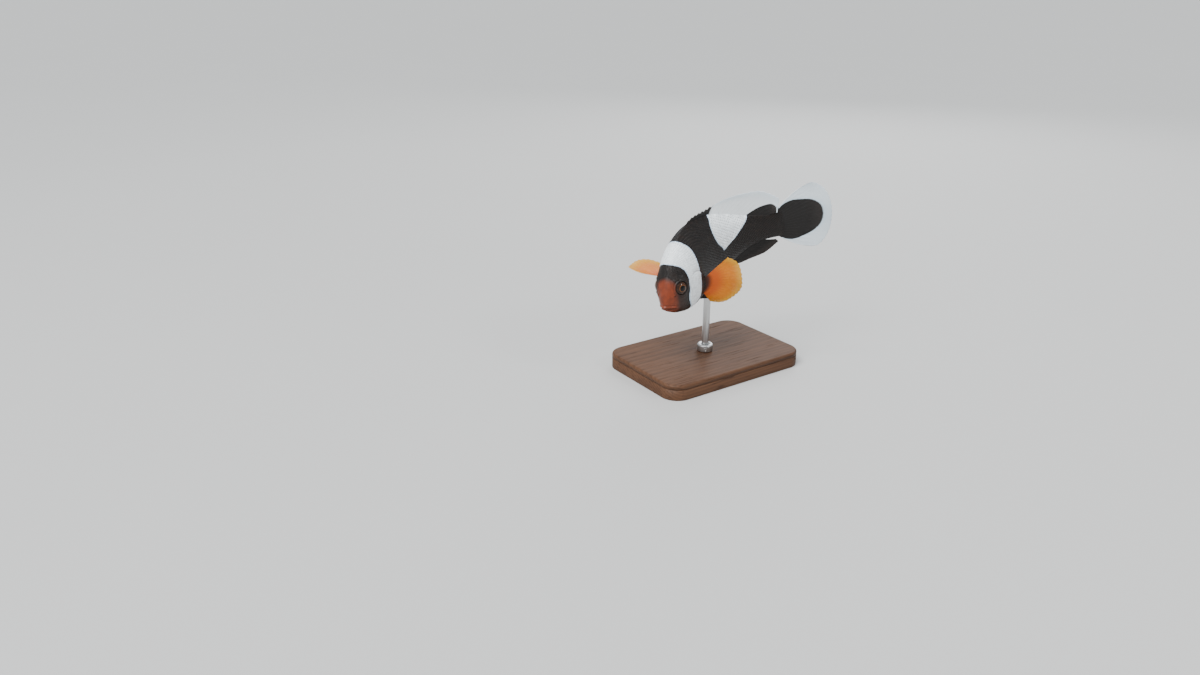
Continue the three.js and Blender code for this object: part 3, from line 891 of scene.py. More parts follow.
    def throat(self, made: Relief) -> None:
        """Fine folds of the skin between the gill covers."""
        here = ease(-made.z, *self.throat_depths) * plateau(made.x, *self.throat_stations)
        folds = np.sin((made.x + 0.5 * made.z) * 2 * math.pi / self.throat_pitch)
        made.height += self.throat_fold * here * folds

    def relief(self, points: Array) -> Relief:
        """The head's whole relief at points of the plain body, in the straight frame."""
        made = Relief(points)
        parts = (self.mouth, self.nostrils, self.orbits, self.cheek_plate, self.gill_covers, self.throat)
        for add in parts:
            add(made)
        return made


# ---- the skin
@dataclass
class Skin:
    """One skin over head, trunk and tail stem, a coat's depth inside the solids."""

    shape: Shape
    posture: Posture
    head: Head
    coat_depth: float = 0.25
    columns: int = 288
    nose_rows: int = 22
    head_end: float = 32.0
    head_step: float = 0.25
    trunk_step: float = 0.85
    tail_closer: float = 0.45  # how much closer the rows are at the tail's root
    ring_samples: int = 361
    keel: Ridge = Ridge(0.0, 0.9, 0.9)  # under the middle fins
    keel_start: Pair = (-0.5, 6.0)  # from the fin's ends
    keel_end: Pair = (-1.0, 2.5)
    pad: Ridge = Ridge(0.0, 0.55, 1.5)  # under the breast fins, and painted shade in the crease behind it
    pad_shade: Ridge = Ridge(1.9, 0.3, 0.5)
    pad_height: float = 3.7
    pad_lean: float = 0.12
    hip: Ridge = Ridge(0.8, 0.4, 2.6)  # under the pelvic fins
    hip_side: Ridge = Ridge(3.2, 1.0, 1.4)
    flank: float = 3.0  # how far from the middle plane the pads start
    overlap: int = 12  # columns by which the scales' chart runs on past the belly

    def stations(self) -> Array:
        """The rows' distances behind the snout tip, from just behind its pole."""
        nose = self.shape.nose_round * self.shape.length
        turn = np.linspace(0, math.pi / 2, self.nose_rows + 1)[1:]
        rows = list(nose * (1 - np.cos(turn)))
        while rows[-1] < self.shape.root_end - 0.4:
            beyond = ease(rows[-1], self.head_end - 2, self.head_end + 12)
            near_tail = 1 - self.tail_closer * ease(rows[-1], 88, 95)
            rows.append(rows[-1] + blend(self.head_step, self.trunk_step, beyond) * near_tail)
        return np.array([*rows[:-1], self.shape.root_end])

    def half_rings(self, x: Array) -> Arrays:
        """The left half of each section from the back to the belly, and the distance along it."""
        angle = np.linspace(math.pi / 2, -math.pi / 2, self.ring_samples)
        dense = self.shape.skin(np.asarray(x)[:, None], angle[None])
        step = np.linalg.norm(np.diff(dense[..., 1:], axis=1), axis=-1)
        return dense, np.concatenate([np.zeros((len(dense), 1)), np.cumsum(step, axis=1)], axis=1)

    def plain(self) -> Arrays:
        """The plain body's grid and its chart: how far round from the back, left positive, and x.

        Returns:
            The grid, rows by columns by 3, and the chart, rows by columns by 2.
        """
        x = self.stations()
        dense, along = self.half_rings(x)
        share = np.linspace(0, 1, self.columns // 2 + 1)
        left = np.empty((len(x), len(share), 3))
        for r in range(len(x)):
            for axis in range(3):
                left[r, :, axis] = np.interp(share * along[r, -1], along[r], dense[r, :, axis])
        right = left[:, 1:-1][:, ::-1] * (1, -1, 1)
        ring = np.concatenate([left, right], axis=1)
        around = share[None] * along[:, -1:]
        chart = np.concatenate([around, -around[:, 1:-1][:, ::-1]], axis=1)
        return ring, np.stack([chart, ring[..., 0]], -1)

    def relief(self, points: Array) -> Relief:
        """The relief of the whole skin: the head's, the keels under the fins and the fins' roots.

        Args:
            points: of the plain body, in the straight frame.

        Returns:
            Height and painted crease shade there.
        """
        made = self.head.relief(points)
        shape, x, z = self.shape, made.x, made.z
        middle = shape.section(x)[3]
        for ends, there in ((shape.back_fin, z > middle), (shape.anal_fin, z < middle)):
            start, end = shape.run(ends)
            rise, fall = [start + run for run in self.keel_start], [end + run for run in self.keel_end]
            made.ridges(made.y, there * plateau(x, rise, fall), self.keel)
        px, pz = shape.spot(shape.breast_fin)
        near = bell(z - pz, self.pad_height) * (np.abs(made.y) > self.flank)
        made.ridges(x - px - self.pad_lean * (z - pz), near, self.pad)
        # painted shade in the crease behind the breast fin's pad
        made.shade(near * self.pad_shade.at(x - px))
        beside = self.hip_side.at(np.abs(made.y)) * (z < middle)
        made.ridges(x - shape.pelvic_fin * shape.length, beside, self.hip)
        return made

    def surface(self) -> Arrays:
        """The skin in the straight frame: its grid, the plain grid under it, the chart and the painted
        shade of its creases.
        """
        plain, chart = self.plain()
        relief = self.relief(plain)
        normals = grid_normals(plain, wrap=True)
        outward = np.sign(np.einsum("rkj,rkj->rk", normals, plain - plain.mean(axis=1, keepdims=True)))
        normals *= np.where(outward == 0, 1, outward)[..., None]
        return plain + normals * (relief.height - self.coat_depth)[..., None], plain, chart, relief.crease

    def build(self, material: Material) -> None:
        """The closed skin piece.

        Args:
            material: the skin's.
        """
        grid, plain, _, crease = self.surface()
        snout = [self.coat_depth * 0.6, 0, self.shape.snout_height * self.shape.depth]
        rear = [self.shape.root_end + self.shape.root_half, 0, 0]
        straight, fish = (np.vstack([part.reshape(-1, 3), snout, rear]) for part in (grid, plain))
        points = self.posture.place(straight)
        faces = facing_out(points, capped_faces(*grid.shape[:2]))
        made = new_object("skin", points, faces, fish=fish, crease=np.append(crease.ravel(), [0, 0]))
        covered = ["head", "lower_jaw", "gill_cover_left", "gill_cover_right", "trunk", "tail_stem"]
        hand_over(made, covered, material)

    def chart_sheet(self) -> Thing:
        """The skin as an open sheet that overlaps itself at the belly, with its chart as a UV map.

        Returns:
            An object that isn't rendered, for laying the scales.
        """
        grid, plain, chart, _ = self.surface()
        placed = self.posture.place(grid)
        out = grid_normals(placed, wrap=True)
        centre = placed.mean(axis=1, keepdims=True)
        out *= np.sign(np.einsum("rkj,rkj->rk", out, placed - centre))[..., None]
        half = self.columns // 2
        order = np.arange(-half - self.overlap, half + self.overlap + 1)
        column = order % self.columns
        around = chart[:, column, 0].copy()
        girth = 2 * chart[:, half, 0][:, None]
        around = np.where(order > half, around + girth, np.where(order <= -half, around - girth, around))
        around = np.where(order == -half, -girth / 2, around)
        uv = np.stack([around, plain[:, column, 0]], -1) * Scales.chart_unit
        points, out, fish = (part[:, column].reshape(-1, 3) for part in (placed, out, plain))
        made = new_object("chart_sheet", points, grid_faces(*uv.shape[:2], wrap=False), out=out, fish=fish)
        put_uv(made, "chart", uv.reshape(-1, 2))
        made.hide_render = True
        return made


# ---- the scales
@dataclass
class Scales:
    """Overlapping scales in rows that follow the side, each a thin closed plate."""

    chart_unit: ClassVar[float] = 0.01  # of the chart's UV map for a millimetre

    skin: Skin
    across: float = 1.95  # between two rows
    along: float = 1.2  # between two files
    first_station: float = 7.2
    last_before: float = 2.6  # how far before the skin's end the last file may start
    reach: float = 60.0  # round the body, from the line of the side
    head_end: float = 27.0
    head_behind: float = 5.0  # the gill cover, to which the head's scales reach outside it
    overlap: float = 2.1  # a scale's length over the distance between files
    seam: float = 0.3  # of a row that stays free at the back's and the belly's middle
    fin_foot: float = 0.55  # and under a fin
    nape_run: float = 7.6  # how far the back's scales run on between its first, low spines
    seed: int = 7
    size: Curve = Curve(
        (6, 0.4), (14, 0.5), (22, 0.64), (31, 0.88), (38, 1), (62, 1), (82, 0.84), (98, 0.6)
    )  # over the station
    front: Curve = Curve(
        (-18, 14.4), (-12, 13.4), (-6, 12.3), (0, 11.2), (5, 9.6), (8, 8.3), (12, 7.6)
    )  # the first station with scales, over the height
    eye_bare: float = 5.1
    cheek_bare: Pair = (0.1, 0.75)  # inside the cheek's edge, and beside that
    cover_bare: Triple = (-1.0, 1.5, 19.0)  # depths in the cover, and from where
    root_bare: Triple = (0.3, 1.7, 4.6)  # behind the breast fin's root, along, upright
    pored_row: float = 0.46  # of the way from the back to the line of the side
    pored_width: float = 0.55
    pored_run: Pair = (24.0, 80.0)
    unevenness: float = 0.06
    turn_share: float = 0.7  # of the unevenness, that turns a scale
    height_power: float = 0.7  # a small scale is thinner, but by less than it is narrower
    bake_patch: float = 0.003
    unwrap_girth: float = 124.0  # what the unwrap's width and its length stand for
    unwrap_length: float = 102.0
    plate_rows: tuple[Triple, ...] = (
        (0.0, 0.6, -0.06), (0.35, 1.0, 0.04), (0.62, 1.0, 0.09), (0.86, 0.78, 0.13), (1.0, 0.34, 0.12),
    )  # share of the length, half width and height
    plate_columns: tuple[float, ...] = (-1.0, -0.5, 0.0, 0.5, 1.0)
    plate_half: float = 0.6  # half its width at most, over the distance between rows
    plate_foot: float = -0.14  # its lowest point, inside the skin
    camber: float = 0.05

    def plate(self) -> Thing:
        """One scale of unit size, lying in x, across, and y, along, with its height in z.

        Returns:
            An object that isn't rendered, with its own coordinates stored as plate.
        """
        share, half, height = (row[:, None] for row in np.array(self.plate_rows).T)
        column = np.array(self.plate_columns)
        along = share + 0 * column
        plate = np.stack([self.plate_half * half * column, along, height - self.camber * column**2], -1)
        local = np.stack([column * half, along, 0 * along], -1)
        faces = grid_faces(*along.shape, wrap=False)
        faces += [(along.size, b, a) for a, b in grid_rim(*along.shape)]
        points = np.vstack([plate.reshape(-1, 3), [0, 0.5, self.plate_foot]])
        made = new_object("plate", points, faces, plate=np.vstack([local.reshape(-1, 3), [0, 0.5, 0]]))
        made.hide_render = True
        return made

    def lattice(self) -> dict[str, Array]:
        """Every scale's place in the chart, its size, its turn and whether it is pored.

        Returns:
            spot, in the chart; fish, the place in the straight frame; size; lean, in radians; and pore.
        """
        shape = self.skin.shape
        files = [self.first_station]
        while files[-1] < shape.root_end - self.last_before:
            files.append(files[-1] + self.along * float(self.size(files[-1])))
        files = np.array(files)
        dense, round_half = self.skin.half_rings(files)
        side_line = round_half[:, self.skin.ring_samples // 2]
        spots, straight, sizes, slopes, pores = [], [], [], [], []
        slope = np.gradient(side_line, files)
        shrink = np.gradient(self.size(files), files)
        for i, x in enumerate(files):
            gap = self.across * float(self.size(x))
            girth = round_half[i, -1]
            span = int(self.reach / gap)
            around = side_line[i] + (np.arange(-span, span + 1) + (i % 2) / 2) * gap
            on_seam = []
            for edge, ends, run_on in ((0.0, shape.back_fin, self.nape_run), (girth, shape.anal_fin, 0.0)):
                start, end = shape.run(ends)
                under_fin = start + run_on < x < end
                free = (self.fin_foot if under_fin else self.seam) * gap
                around = around[np.abs(around - edge) > free]
                if not under_fin and np.abs(around - edge).min() > 2 * free:
                    on_seam.append(edge)
            around = around[(around > 0) & (around < girth)]
            for side in Side:
                places = np.concatenate([around, on_seam if side is Side.LEFT else []])
                point = np.stack([np.interp(places, round_half[i], dense[i, :, k]) for k in range(3)], -1)
                lean = slope[i] + (places - side_line[i]) * shrink[i] / float(self.size(x))
                pore = np.abs(places - self.pored_row * side_line[i]) < self.pored_width * gap
                spots.append(np.stack([side.value * places, np.full_like(places, x)], -1))
                straight.append(point * (1, side.value, 1))
                sizes.append(np.full_like(places, float(self.size(x))))
                slopes.append(side.value * np.where(places > self.seam * gap, lean, 0.0))
                pores.append(pore & (self.pored_run[0] < x < self.pored_run[1]))
        found = {"spot": np.vstack(spots), "fish": np.vstack(straight), "size": np.concatenate(sizes)}
        found["lean"] = -np.arctan(np.concatenate(slopes))
        return found | {"pore": np.concatenate(pores).astype(float)}

    def bare(self, points: Array) -> Array:
        """Where the skin has no scales: snout, lips, eye rings, plate edges and fin roots.

        Args:
            points: of the plain body, in the straight frame.

        Returns:
            Whether each point is bare.
        """
        head = self.skin.head
        x, z = points[..., 0], points[..., 2]
        bare = x < self.front(z)
        for eye in head.eyes():
            bare |= eye.distance(points) < self.eye_bare
        out, fade = head.cheek(points)
        inside, beside = self.cheek_bare
        bare |= (np.abs(out + inside) < beside) & (fade > 0.5)
        deep = head.cover_depth(points)
        low, high, start = self.cover_bare
        bare |= (deep > low) & (deep < high) & (x > start)
        px, pz = self.skin.shape.spot(self.skin.shape.breast_fin)
        behind, along, upright = self.root_bare
        bare |= (np.abs(x - px - behind) < along) & (np.abs(z - pz) < upright)
        return bare

    def tree(self) -> NodeTree:
        """Plates on points of the chart, laid over the skin that the chart unwraps.

        Returns:
            The geometry tree, which starts from a mesh of points with size, lean and pore.
        """
        inputs = {
            "Geometry": ("Geometry", None),
            "Plate": ("Object", None),
            "Skin": ("Object", None),
            "Width": ("Float", self.across),
            "Length": ("Float", self.along * self.overlap),
            "Unevenness": ("Float", self.unevenness),
            "Chart unit": ("Float", self.chart_unit),
            "Patch": ("Float", self.bake_patch),
            "Seed": ("Int", self.seed),
            "Material": ("Material", None),
        }
        tree = Tree.group("lay_scales", "GeometryNodeTree", inputs, {"Geometry": "Geometry"})
        given = tree.source
        feeds = {"Min": (-1, -1, -1), "Max": (1, 1, 1), "Seed": given["Seed"]}
        luck = tree.split(tree.add("FunctionNodeRandomValue", feeds, data_type="FLOAT_VECTOR").outputs[0])
        place = tree.add("GeometryNodeInputPosition").outputs[0]
        points = tree.store(given["Geometry"], "root", place)
        points = tree.store(points, "tone", luck[0], "FLOAT")
        wobble = tree.times(luck[1], given["Unevenness"])
        size = tree.times(tree.stored("size", "FLOAT"), tree.plus(wobble, 1.0))
        tilt = tree.times(given["Unevenness"], self.turn_share)
        turn = tree.times_plus(luck[2], tilt, tree.stored("lean", "FLOAT"))
        spin = tree.join(Z=turn)
        wide = tree.join(
            X=tree.times(size, given["Width"]),
            Y=tree.times(size, given["Length"]),
            Z=tree.math("POWER", size, self.height_power),
        )
        plate = tree.add("GeometryNodeObjectInfo", {"Object": given["Plate"]}).outputs["Geometry"]
        feeds = {"Points": points, "Instance": plate, "Scale": wide, "Rotation": spin}
        laid = tree.add("GeometryNodeInstanceOnPoints", feeds).outputs[0]
        flat = tree.add("GeometryNodeRealizeInstances", {"Geometry": laid}).outputs[0]

        skin = tree.add("GeometryNodeObjectInfo", {"Object": given["Skin"]}).outputs["Geometry"]
        height = tree.split(place)[2]
        chart = tree.vector("SCALE", place, Scale=given["Chart unit"])

        def sampled(value: Feed) -> Socket:
            """A value of the skin under this place of the chart."""
            feeds = {"Mesh": skin, "Value": value, "UV Map": tree.stored("chart"), "Sample UV": chart}
            return tree.add("GeometryNodeSampleUVSurface", feeds, data_type="FLOAT_VECTOR").outputs[0]

        root_x, root_y, _ = tree.split(tree.stored("root"))
        patch_x, patch_y, _ = tree.split(tree.stored("plate"))
        half_patch = tree.times(given["Patch"], 0.5)
        u = tree.times_plus(patch_x, half_patch, tree.level(root_x, 0.5, 0.5 + 1 / self.unwrap_girth))
        v = tree.times_plus(patch_y, given["Patch"], tree.level(root_y, 0.0, 1 / self.unwrap_length))
        made = tree.store(flat, "OFBake", tree.join(X=u, Y=v), "FLOAT2", "CORNER")
        made = tree.store(made, "fish", sampled(tree.stored("fish")))
        lifted = tree.vector("SCALE", sampled(tree.stored("out")), Scale=tree.times(height, METRE))
        ground = tree.vector("ADD", sampled(place), lifted)
        made = tree.add("GeometryNodeSetPosition", {"Geometry": made, "Position": ground}).outputs[0]
        return tree.dressed(made, given["Material"])

    def build(self, material: Material) -> None:
        """The scales of the head and of the body, as two pieces.

        Args:
            material: the scales'.
        """
        found = self.lattice()
        kept = ~self.bare(found["fish"])
        on_head = (found["fish"][:, 0] < self.head_end) & (self.skin.head.cover_depth(found["fish"]) > 0)
        on_head |= found["fish"][:, 0] < self.head_end - self.head_behind
        plate, sheet = self.plate(), self.skin.chart_sheet()
        tree = self.tree()
        parts = (("scales_head", "skin_face", on_head), ("scales_body", "skin_dark", ~on_head))
        for name, slot, chosen in parts:
            picked = chosen & kept
            spots = np.column_stack([found["spot"], np.zeros(len(picked))])[picked]
            size, lean, pore = (found[key][picked] for key in ("size", "lean", "pore"))
            made = new_object(name, spots, size=size, lean=lean, pore=pore)
            grow(made, tree, {"Plate": plate, "Skin": sheet, "Material": material})
            log.info("%s: %d scales", name, picked.sum())
            hand_over(made, [])
        for helper in (plate, sheet):
            bpy.data.objects.remove(helper)


def grow(made: Thing, tree: NodeTree, feeds: dict[str, object]) -> None:
    """Runs a geometry tree on an object and keeps the result as its plain mesh.

    Args:
        made: the object whose mesh the tree starts from.
        tree: the geometry tree.
        feeds: values for the tree's inputs, by name.
    """
    modifier = made.modifiers.new(tree.name, "NODES")
    modifier.node_group = tree
    sockets = {s.name: s.identifier for s in tree.interface.items_tree if s.in_out == "INPUT"}
    for name, value in feeds.items():
        modifier[sockets[name]] = value
    graph = bpy.context.evaluated_depsgraph_get()
    mesh = bpy.data.meshes.new_from_object(
        made.evaluated_get(graph), preserve_all_data_layers=True, depsgraph=graph
    )
    made.modifiers.clear()
    old = made.data
    mesh.name = made.name
    made.data = mesh
    bpy.data.meshes.remove(old)
    mesh.polygons.foreach_set("use_smooth", np.ones(len(mesh.polygons), bool))


# ---- the fins
class FinPattern(Enum):
    """How a fin is marked."""

    DARK = "dark"
    SADDLE = "saddle"
    TAIL = "tail"
    BREAST = "breast"


@dataclass
class Fin:
    """A fin: a thin membrane between rays, which branch towards its edge.

    A subclass says where its rays run, by across from 0 to 1.
    """

    name: str
    nodes: tuple[str, ...]
    slot: str
    rays: int
    posture: Posture
    spines: int = 0
    pattern: FinPattern = FinPattern.DARK
    clear_edge: float = 0.94  # how much light the thinnest membrane stops
    membrane_root: float = 0.34  # thickness
    membrane_edge: float = 0.08
    thin_from: float = 0.6  # along the fin
    rim_from: float = 0.96  # share of the way to the edge, where it thins by half once more
    ray_root: float = 0.30  # radius
    ray_edge: float = 0.11
    spine_root: float = 0.40
    spine_tip: float = 0.05
    taper: float = 0.8  # power of the rays' and spines' taper
    forks: Pair = (0.36, 0.68)
    fork_spread: Pair = (0.17, 0.085)  # of the branches, over the distance between rays
    branch_radii: Four = (1.0, 0.8, 0.7, 0.66)  # before, between and after
    branch_thins: float = 0.6  # share of a branch after which it thins
    ray_reach: float = 0.994
    ray_tip: float = 0.05  # along which a ray's end thins
    tip_thins: float = 0.6
    notch: float = 0.014
    spine_notch: float = 0.2
    notch_start: float = 0.2  # of a spine's notch right behind the spine
    notch_power: float = 1.4
    spine_face: float = 0.985  # where the membrane rises to the next spine
    wave: float = 0.35
    waves: float = 2.0
    wave_power: float = 1.6
    wave_lean: float = 0.35
    columns_per_ray: int = 8
    membrane_rows: int = 34
    ray_sides: int = 6
    spine_points: int = 18
    branch_points: int = 13

    def lines(self, across: Array) -> Arrays:
        """Root, tip, bow and sideways direction of the rays at across.

        Args:
            across: places across the fin, from 0 to 1.

        Returns:
            The four, in the straight frame.
        """
        raise NotImplementedError

    def station(self, across: Array) -> Array:
        """What the material reads as the place across the fin."""
        return across

    def ray_places(self) -> Array:
        """Where each ray is, across the fin."""
        return np.linspace(0, 1, self.rays)

    def point(self, across: Array, along: Array) -> Array:
        """Points of the fin's middle surface in the straight frame.

        Args:
            across: places across the rays, from 0 to 1.
            along: places along them, from the root, 0, to the edge, 1.

        Returns:
            The points.
        """
        root, tip, bow, sideways = self.lines(across)
        t = along[..., None]
        turns = self.waves * across + self.wave_lean * along
        swing = self.wave * along**self.wave_power * np.sin(2 * math.pi * turns)
        return blend(root, tip, t) + bow * 4 * t * (1 - t) + sideways * swing[..., None]

    def edge(self, across: Array) -> Array:
        """How far along the membrane reaches, notched between the rays."""
        places = self.ray_places()
        i = np.clip(np.searchsorted(places, across, side="right") - 1, 0, len(places) - 2)
        phase = np.clip((across - places[i]) / (places[i + 1] - places[i]), 0, 1)
        soft = 1 - self.notch * (1 - np.cos(2 * math.pi * phase)) / 2
        dip = (self.notch_start + phase**self.notch_power) * (1 - ease(phase, self.spine_face, 1.0))
        return np.where(i < self.spines, 1 - self.spine_notch * dip, soft)

    def membrane(self) -> Thing:
        """The closed thin sheet.

        Returns:
            An object that isn't rendered, with its places on the fin stored.
        """
        places = self.ray_places()[:, None]
        steps = np.linspace(0, 1, self.columns_per_ray, endpoint=False)
        across = np.append(blend(places[:-1], places[1:], steps), 1.0)
        share = np.linspace(0, 1, self.membrane_rows)[None] ** 0.9
        along = self.edge(across)[:, None] * share
        wide = np.broadcast_to(across[:, None], along.shape)
        middle = self.point(wide, along)
        half = blend(self.membrane_root, self.membrane_edge, ease(along, 0, self.thin_from)) / 2
        half = half * (1 - 0.5 * ease(share, self.rim_from, 1.0))
        out = grid_normals(middle, wrap=False) * half[..., None]
        other = along.size
        faces = grid_faces(*along.shape, wrap=False)
        faces += [tuple(v + other for v in f[::-1]) for f in faces]
        faces += [(b, a, a + other, b + other) for a, b in grid_rim(*along.shape)]
        straight = np.vstack([(middle - out).reshape(-1, 3), (middle + out).reshape(-1, 3)])
        points = self.posture.place(straight)
        marks = np.stack([self.station(wide), along, np.zeros_like(along)], -1).reshape(-1, 3)
        faces = facing_out(points, faces)
        made = new_object(
            f"{self.name}_membrane", points, faces, fin=np.vstack([marks, marks]), fish=straight
        )
        made.hide_render = True
        return made

    def branches(self) -> Iterator[Arrays]:
        """Every line of every spine and ray: its places across and along the fin, and its radii.

        Yields:
            One line after another.
        """
        places = self.ray_places()
        spacing = (places[-1] - places[0]) / (len(places) - 1)
        ends = (0.0, *self.forks, self.ray_reach - 0.5 * self.notch)
        offsets = ((0,), (-1, 1), (-3, -1, 1, 3))
        for place in places[: self.spines]:
            along = np.linspace(0, 1.0, self.spine_points)
            radius = blend(self.spine_root, self.spine_tip, along**self.taper)
            yield np.full_like(along, place), along, radius
        for place in places[self.spines :]:
            for k, (low, high) in enumerate(zip(ends, ends[1:])):
                along = np.linspace(low, high, self.branch_points)
                thins = ease(along, blend(low, high, self.branch_thins), high)
                thin = blend(self.branch_radii[k], self.branch_radii[k + 1], thins)
                thin = thin * (1 - self.tip_thins * ease(along, ends[-1] - self.ray_tip, ends[-1]))
                radius = blend(self.ray_root, self.ray_edge, along**self.taper) * thin
                for offset in offsets[k]:
                    branch = np.sign(offset)
                    first = branch * ease(along, *self.forks) * self.fork_spread[0]
                    second = (offset - 2 * branch) * ease(along, self.forks[1], 1.0) * self.fork_spread[1]
                    across = np.clip(place + (first + second) * spacing, places[0], places[-1])
                    yield across, along, radius

    def ray_lines(self) -> Thing:
        """The rays' centre lines as edges, with their radius."""
        lines = list(self.branches())
        across, along, radius = (np.concatenate(part) for part in zip(*lines))
        last = np.cumsum([len(line[0]) for line in lines]) - 1
        first = np.setdiff1d(np.arange(len(along)), last)
        straight = self.point(across, along)
        points, edges = self.posture.place(straight), np.column_stack([first, first + 1]).tolist()
        marks = np.stack([self.station(across), along, np.ones_like(along)], -1)
        return new_object(self.name, points, edges=edges, fin=marks, fish=straight, radius_m=radius * METRE)

    @staticmethod
    def tree() -> NodeTree:
        """Round rays along lines, with their membrane.

        Returns:
            The geometry tree, which starts from the rays' lines.
        """
        inputs = {
            "Geometry": ("Geometry", None),
            "Membrane": ("Object", None),
            "Sides": ("Int", 6),
            "Thickness": ("Float", 1.0),
            "Material": ("Material", None),
        }
        tree = Tree.group("ray_fin", "GeometryNodeTree", inputs, {"Geometry": "Geometry"})
        given = tree.source
        line = tree.add("GeometryNodeMeshToCurve", {"Mesh": given["Geometry"]}).outputs[0]
        feeds = {"Radius": 1.0, "Resolution": given["Sides"]}
        ring = tree.add("GeometryNodeCurvePrimitiveCircle", feeds).outputs[0]
        radius = tree.times(tree.stored("radius_m", "FLOAT"), given["Thickness"])
        feeds = {"Curve": line, "Profile Curve": ring, "Fill Caps": True, "Scale": radius}
        rays = tree.add("GeometryNodeCurveToMesh", feeds).outputs[0]
        membrane = tree.add("GeometryNodeObjectInfo", {"Object": given["Membrane"]}).outputs["Geometry"]
        both = tree.add("GeometryNodeJoinGeometry")
        for part in (rays, membrane):
            tree.feed(both, {0: part})
        made = tree.add("GeometryNodeRealizeInstances", {"Geometry": both.outputs[0]}).outputs[0]
        return tree.dressed(made, given["Material"])

    def build(self, tree: NodeTree, material: Material) -> None:
        """The whole fin."""
        membrane, made = self.membrane(), self.ray_lines()
        grow(made, tree, {"Membrane": membrane, "Sides": self.ray_sides, "Material": material})
        bpy.data.objects.remove(membrane)
        hand_over(made, self.nodes)


@dataclass(frozen=True)
class Stretch:
    """A stretch of a fin in the middle plane. Stations are shares of the standard length."""

    start: float
    end: float
    lean: Curve  # degrees behind straight out
    reach: Curve
    sway: float = 0.0


@dataclass
class MiddleFin(Fin):
    """A fin along the back or the belly, in one or two stretches."""

    stretches: tuple[Stretch, ...] = ()
    up: int = 1
    root_depth: float = 1.6
    bow: float = 0.03  # of a ray, over its length

    def station(self, across: Array) -> Array:
        """The root's distance behind the snout tip."""
        first, last = self.stretches[0].start, self.stretches[-1].end
        return blend(first, last, across) * self.posture.shape.length

    def ray_places(self) -> Array:
        """Spines over the first stretch and soft rays over the last."""
        first, last = self.stretches[0].start, self.stretches[-1].end
        if len(self.stretches) == 1:
            return np.linspace(0, 1, self.rays)
        spiny = np.linspace(first, self.stretches[0].end, self.spines)
        soft = np.linspace(self.stretches[-1].start, last, self.rays - self.spines)
        return (np.concatenate([spiny, soft]) - first) / (last - first)

    def lines(self, across: Array) -> Arrays:
        """Root, tip, bow and sideways direction of the rays at across."""
        shape = self.posture.shape
        x = self.station(across)
        share = x / shape.length
        lean, reach, sway = np.zeros_like(x), np.zeros_like(x), np.zeros_like(x)
        for k, part in enumerate(self.stretches):
            here = share >= part.start if k else np.full(x.shape, True)
            local = np.clip((share - part.start) / (part.end - part.start), 0, 1)
            lean = np.where(here, part.lean(local), lean)
            reach = np.where(here, part.reach(local), reach)
            sway = np.where(here, part.sway * local, sway)
        back, belly, _, _ = shape.section(x)
        root_z = np.where(self.up > 0, back - self.root_depth, belly + self.root_depth)
        length, angle = reach + self.root_depth, np.radians(lean)
        zero = np.zeros_like(x)
        root = np.stack([x, zero, root_z], -1)
        tip = root + np.stack([length * np.sin(angle), sway, self.up * length * np.cos(angle)], -1)
        bow = np.stack([zero, zero, self.up * length * self.bow], -1)
        return root, tip, bow, SIDEWAYS


@dataclass
class TailFin(Fin):
    """The tail fin: rays fan out from the end of the body."""

    spread_deg: float = 31.0
    reach: float = 31.0
    corner: float = 0.2
    bow: float = 2.6
    root_step: float = 1.2
    root_share: float = 0.92

    def lines(self, across: Array) -> Arrays:
        """Root, tip, bow and sideways direction of the rays at across."""
        shape = self.posture.shape
        t = 2 * across - 1
        half = float(shape.back(1.0)) * shape.depth * self.root_share
        angle = math.radians(self.spread_deg) * t
        zero = np.zeros_like(t)
        root = np.stack([zero + shape.length - self.root_step, zero, half * t], -1)
        length = self.reach * (1 - self.corner * np.abs(t) ** 3)
        tip = root + np.stack([length * np.cos(angle), zero, length * np.sin(angle)], -1)
        bow = np.stack([zero, zero, self.bow * t * np.abs(t)], -1)
        return root, tip, bow, SIDEWAYS


@dataclass
class PairedFin(Fin):
    """A breast or pelvic fin: a fan about an axis that points back and down from the side."""

    side: Side = Side.LEFT
    root: Triple = (0, 0, 0)
    back_deg: float = 0.0
    down_deg: float = 0.0
    roll_deg: float = 0.0
    root_roll_deg: float = 0.0
    root_length: float = 7.5
    fan_deg: float = 44.0
    reach: Curve = Curve((0, 10), (1, 10))
    cup: float = 1.6
    cup_level: float = 0.4
    cup_bow: float = -0.35

    def lines(self, across: Array) -> Arrays:
        """Root, tip, bow and sideways direction of the rays at across."""
        b, d = math.radians(self.back_deg), math.radians(self.down_deg)
        axis = np.array([math.sin(b) * math.cos(d), math.cos(b) * math.cos(d), -math.sin(d)])
        upright = unit(np.array([0, 0, 1.0]) - axis * axis[2])
        wide = turned(upright, axis, self.roll_deg)
        root_way = turned(upright, axis, self.root_roll_deg)
        normal = np.cross(axis, wide)
        t = (2 * across - 1)[..., None]
        angle = math.radians(self.fan_deg) * t
        start = np.array(self.root) + root_way * (self.root_length / 2) * t
        way = axis * np.cos(angle) + wide * np.sin(angle)
        tip = start + way * self.reach(across)[..., None] + normal * self.cup * (t * t - self.cup_level)
        flip = np.array([1, self.side.value, 1])
        return start * flip, tip * flip, normal * flip * (self.cup_bow * self.cup) + 0 * tip, normal * flip


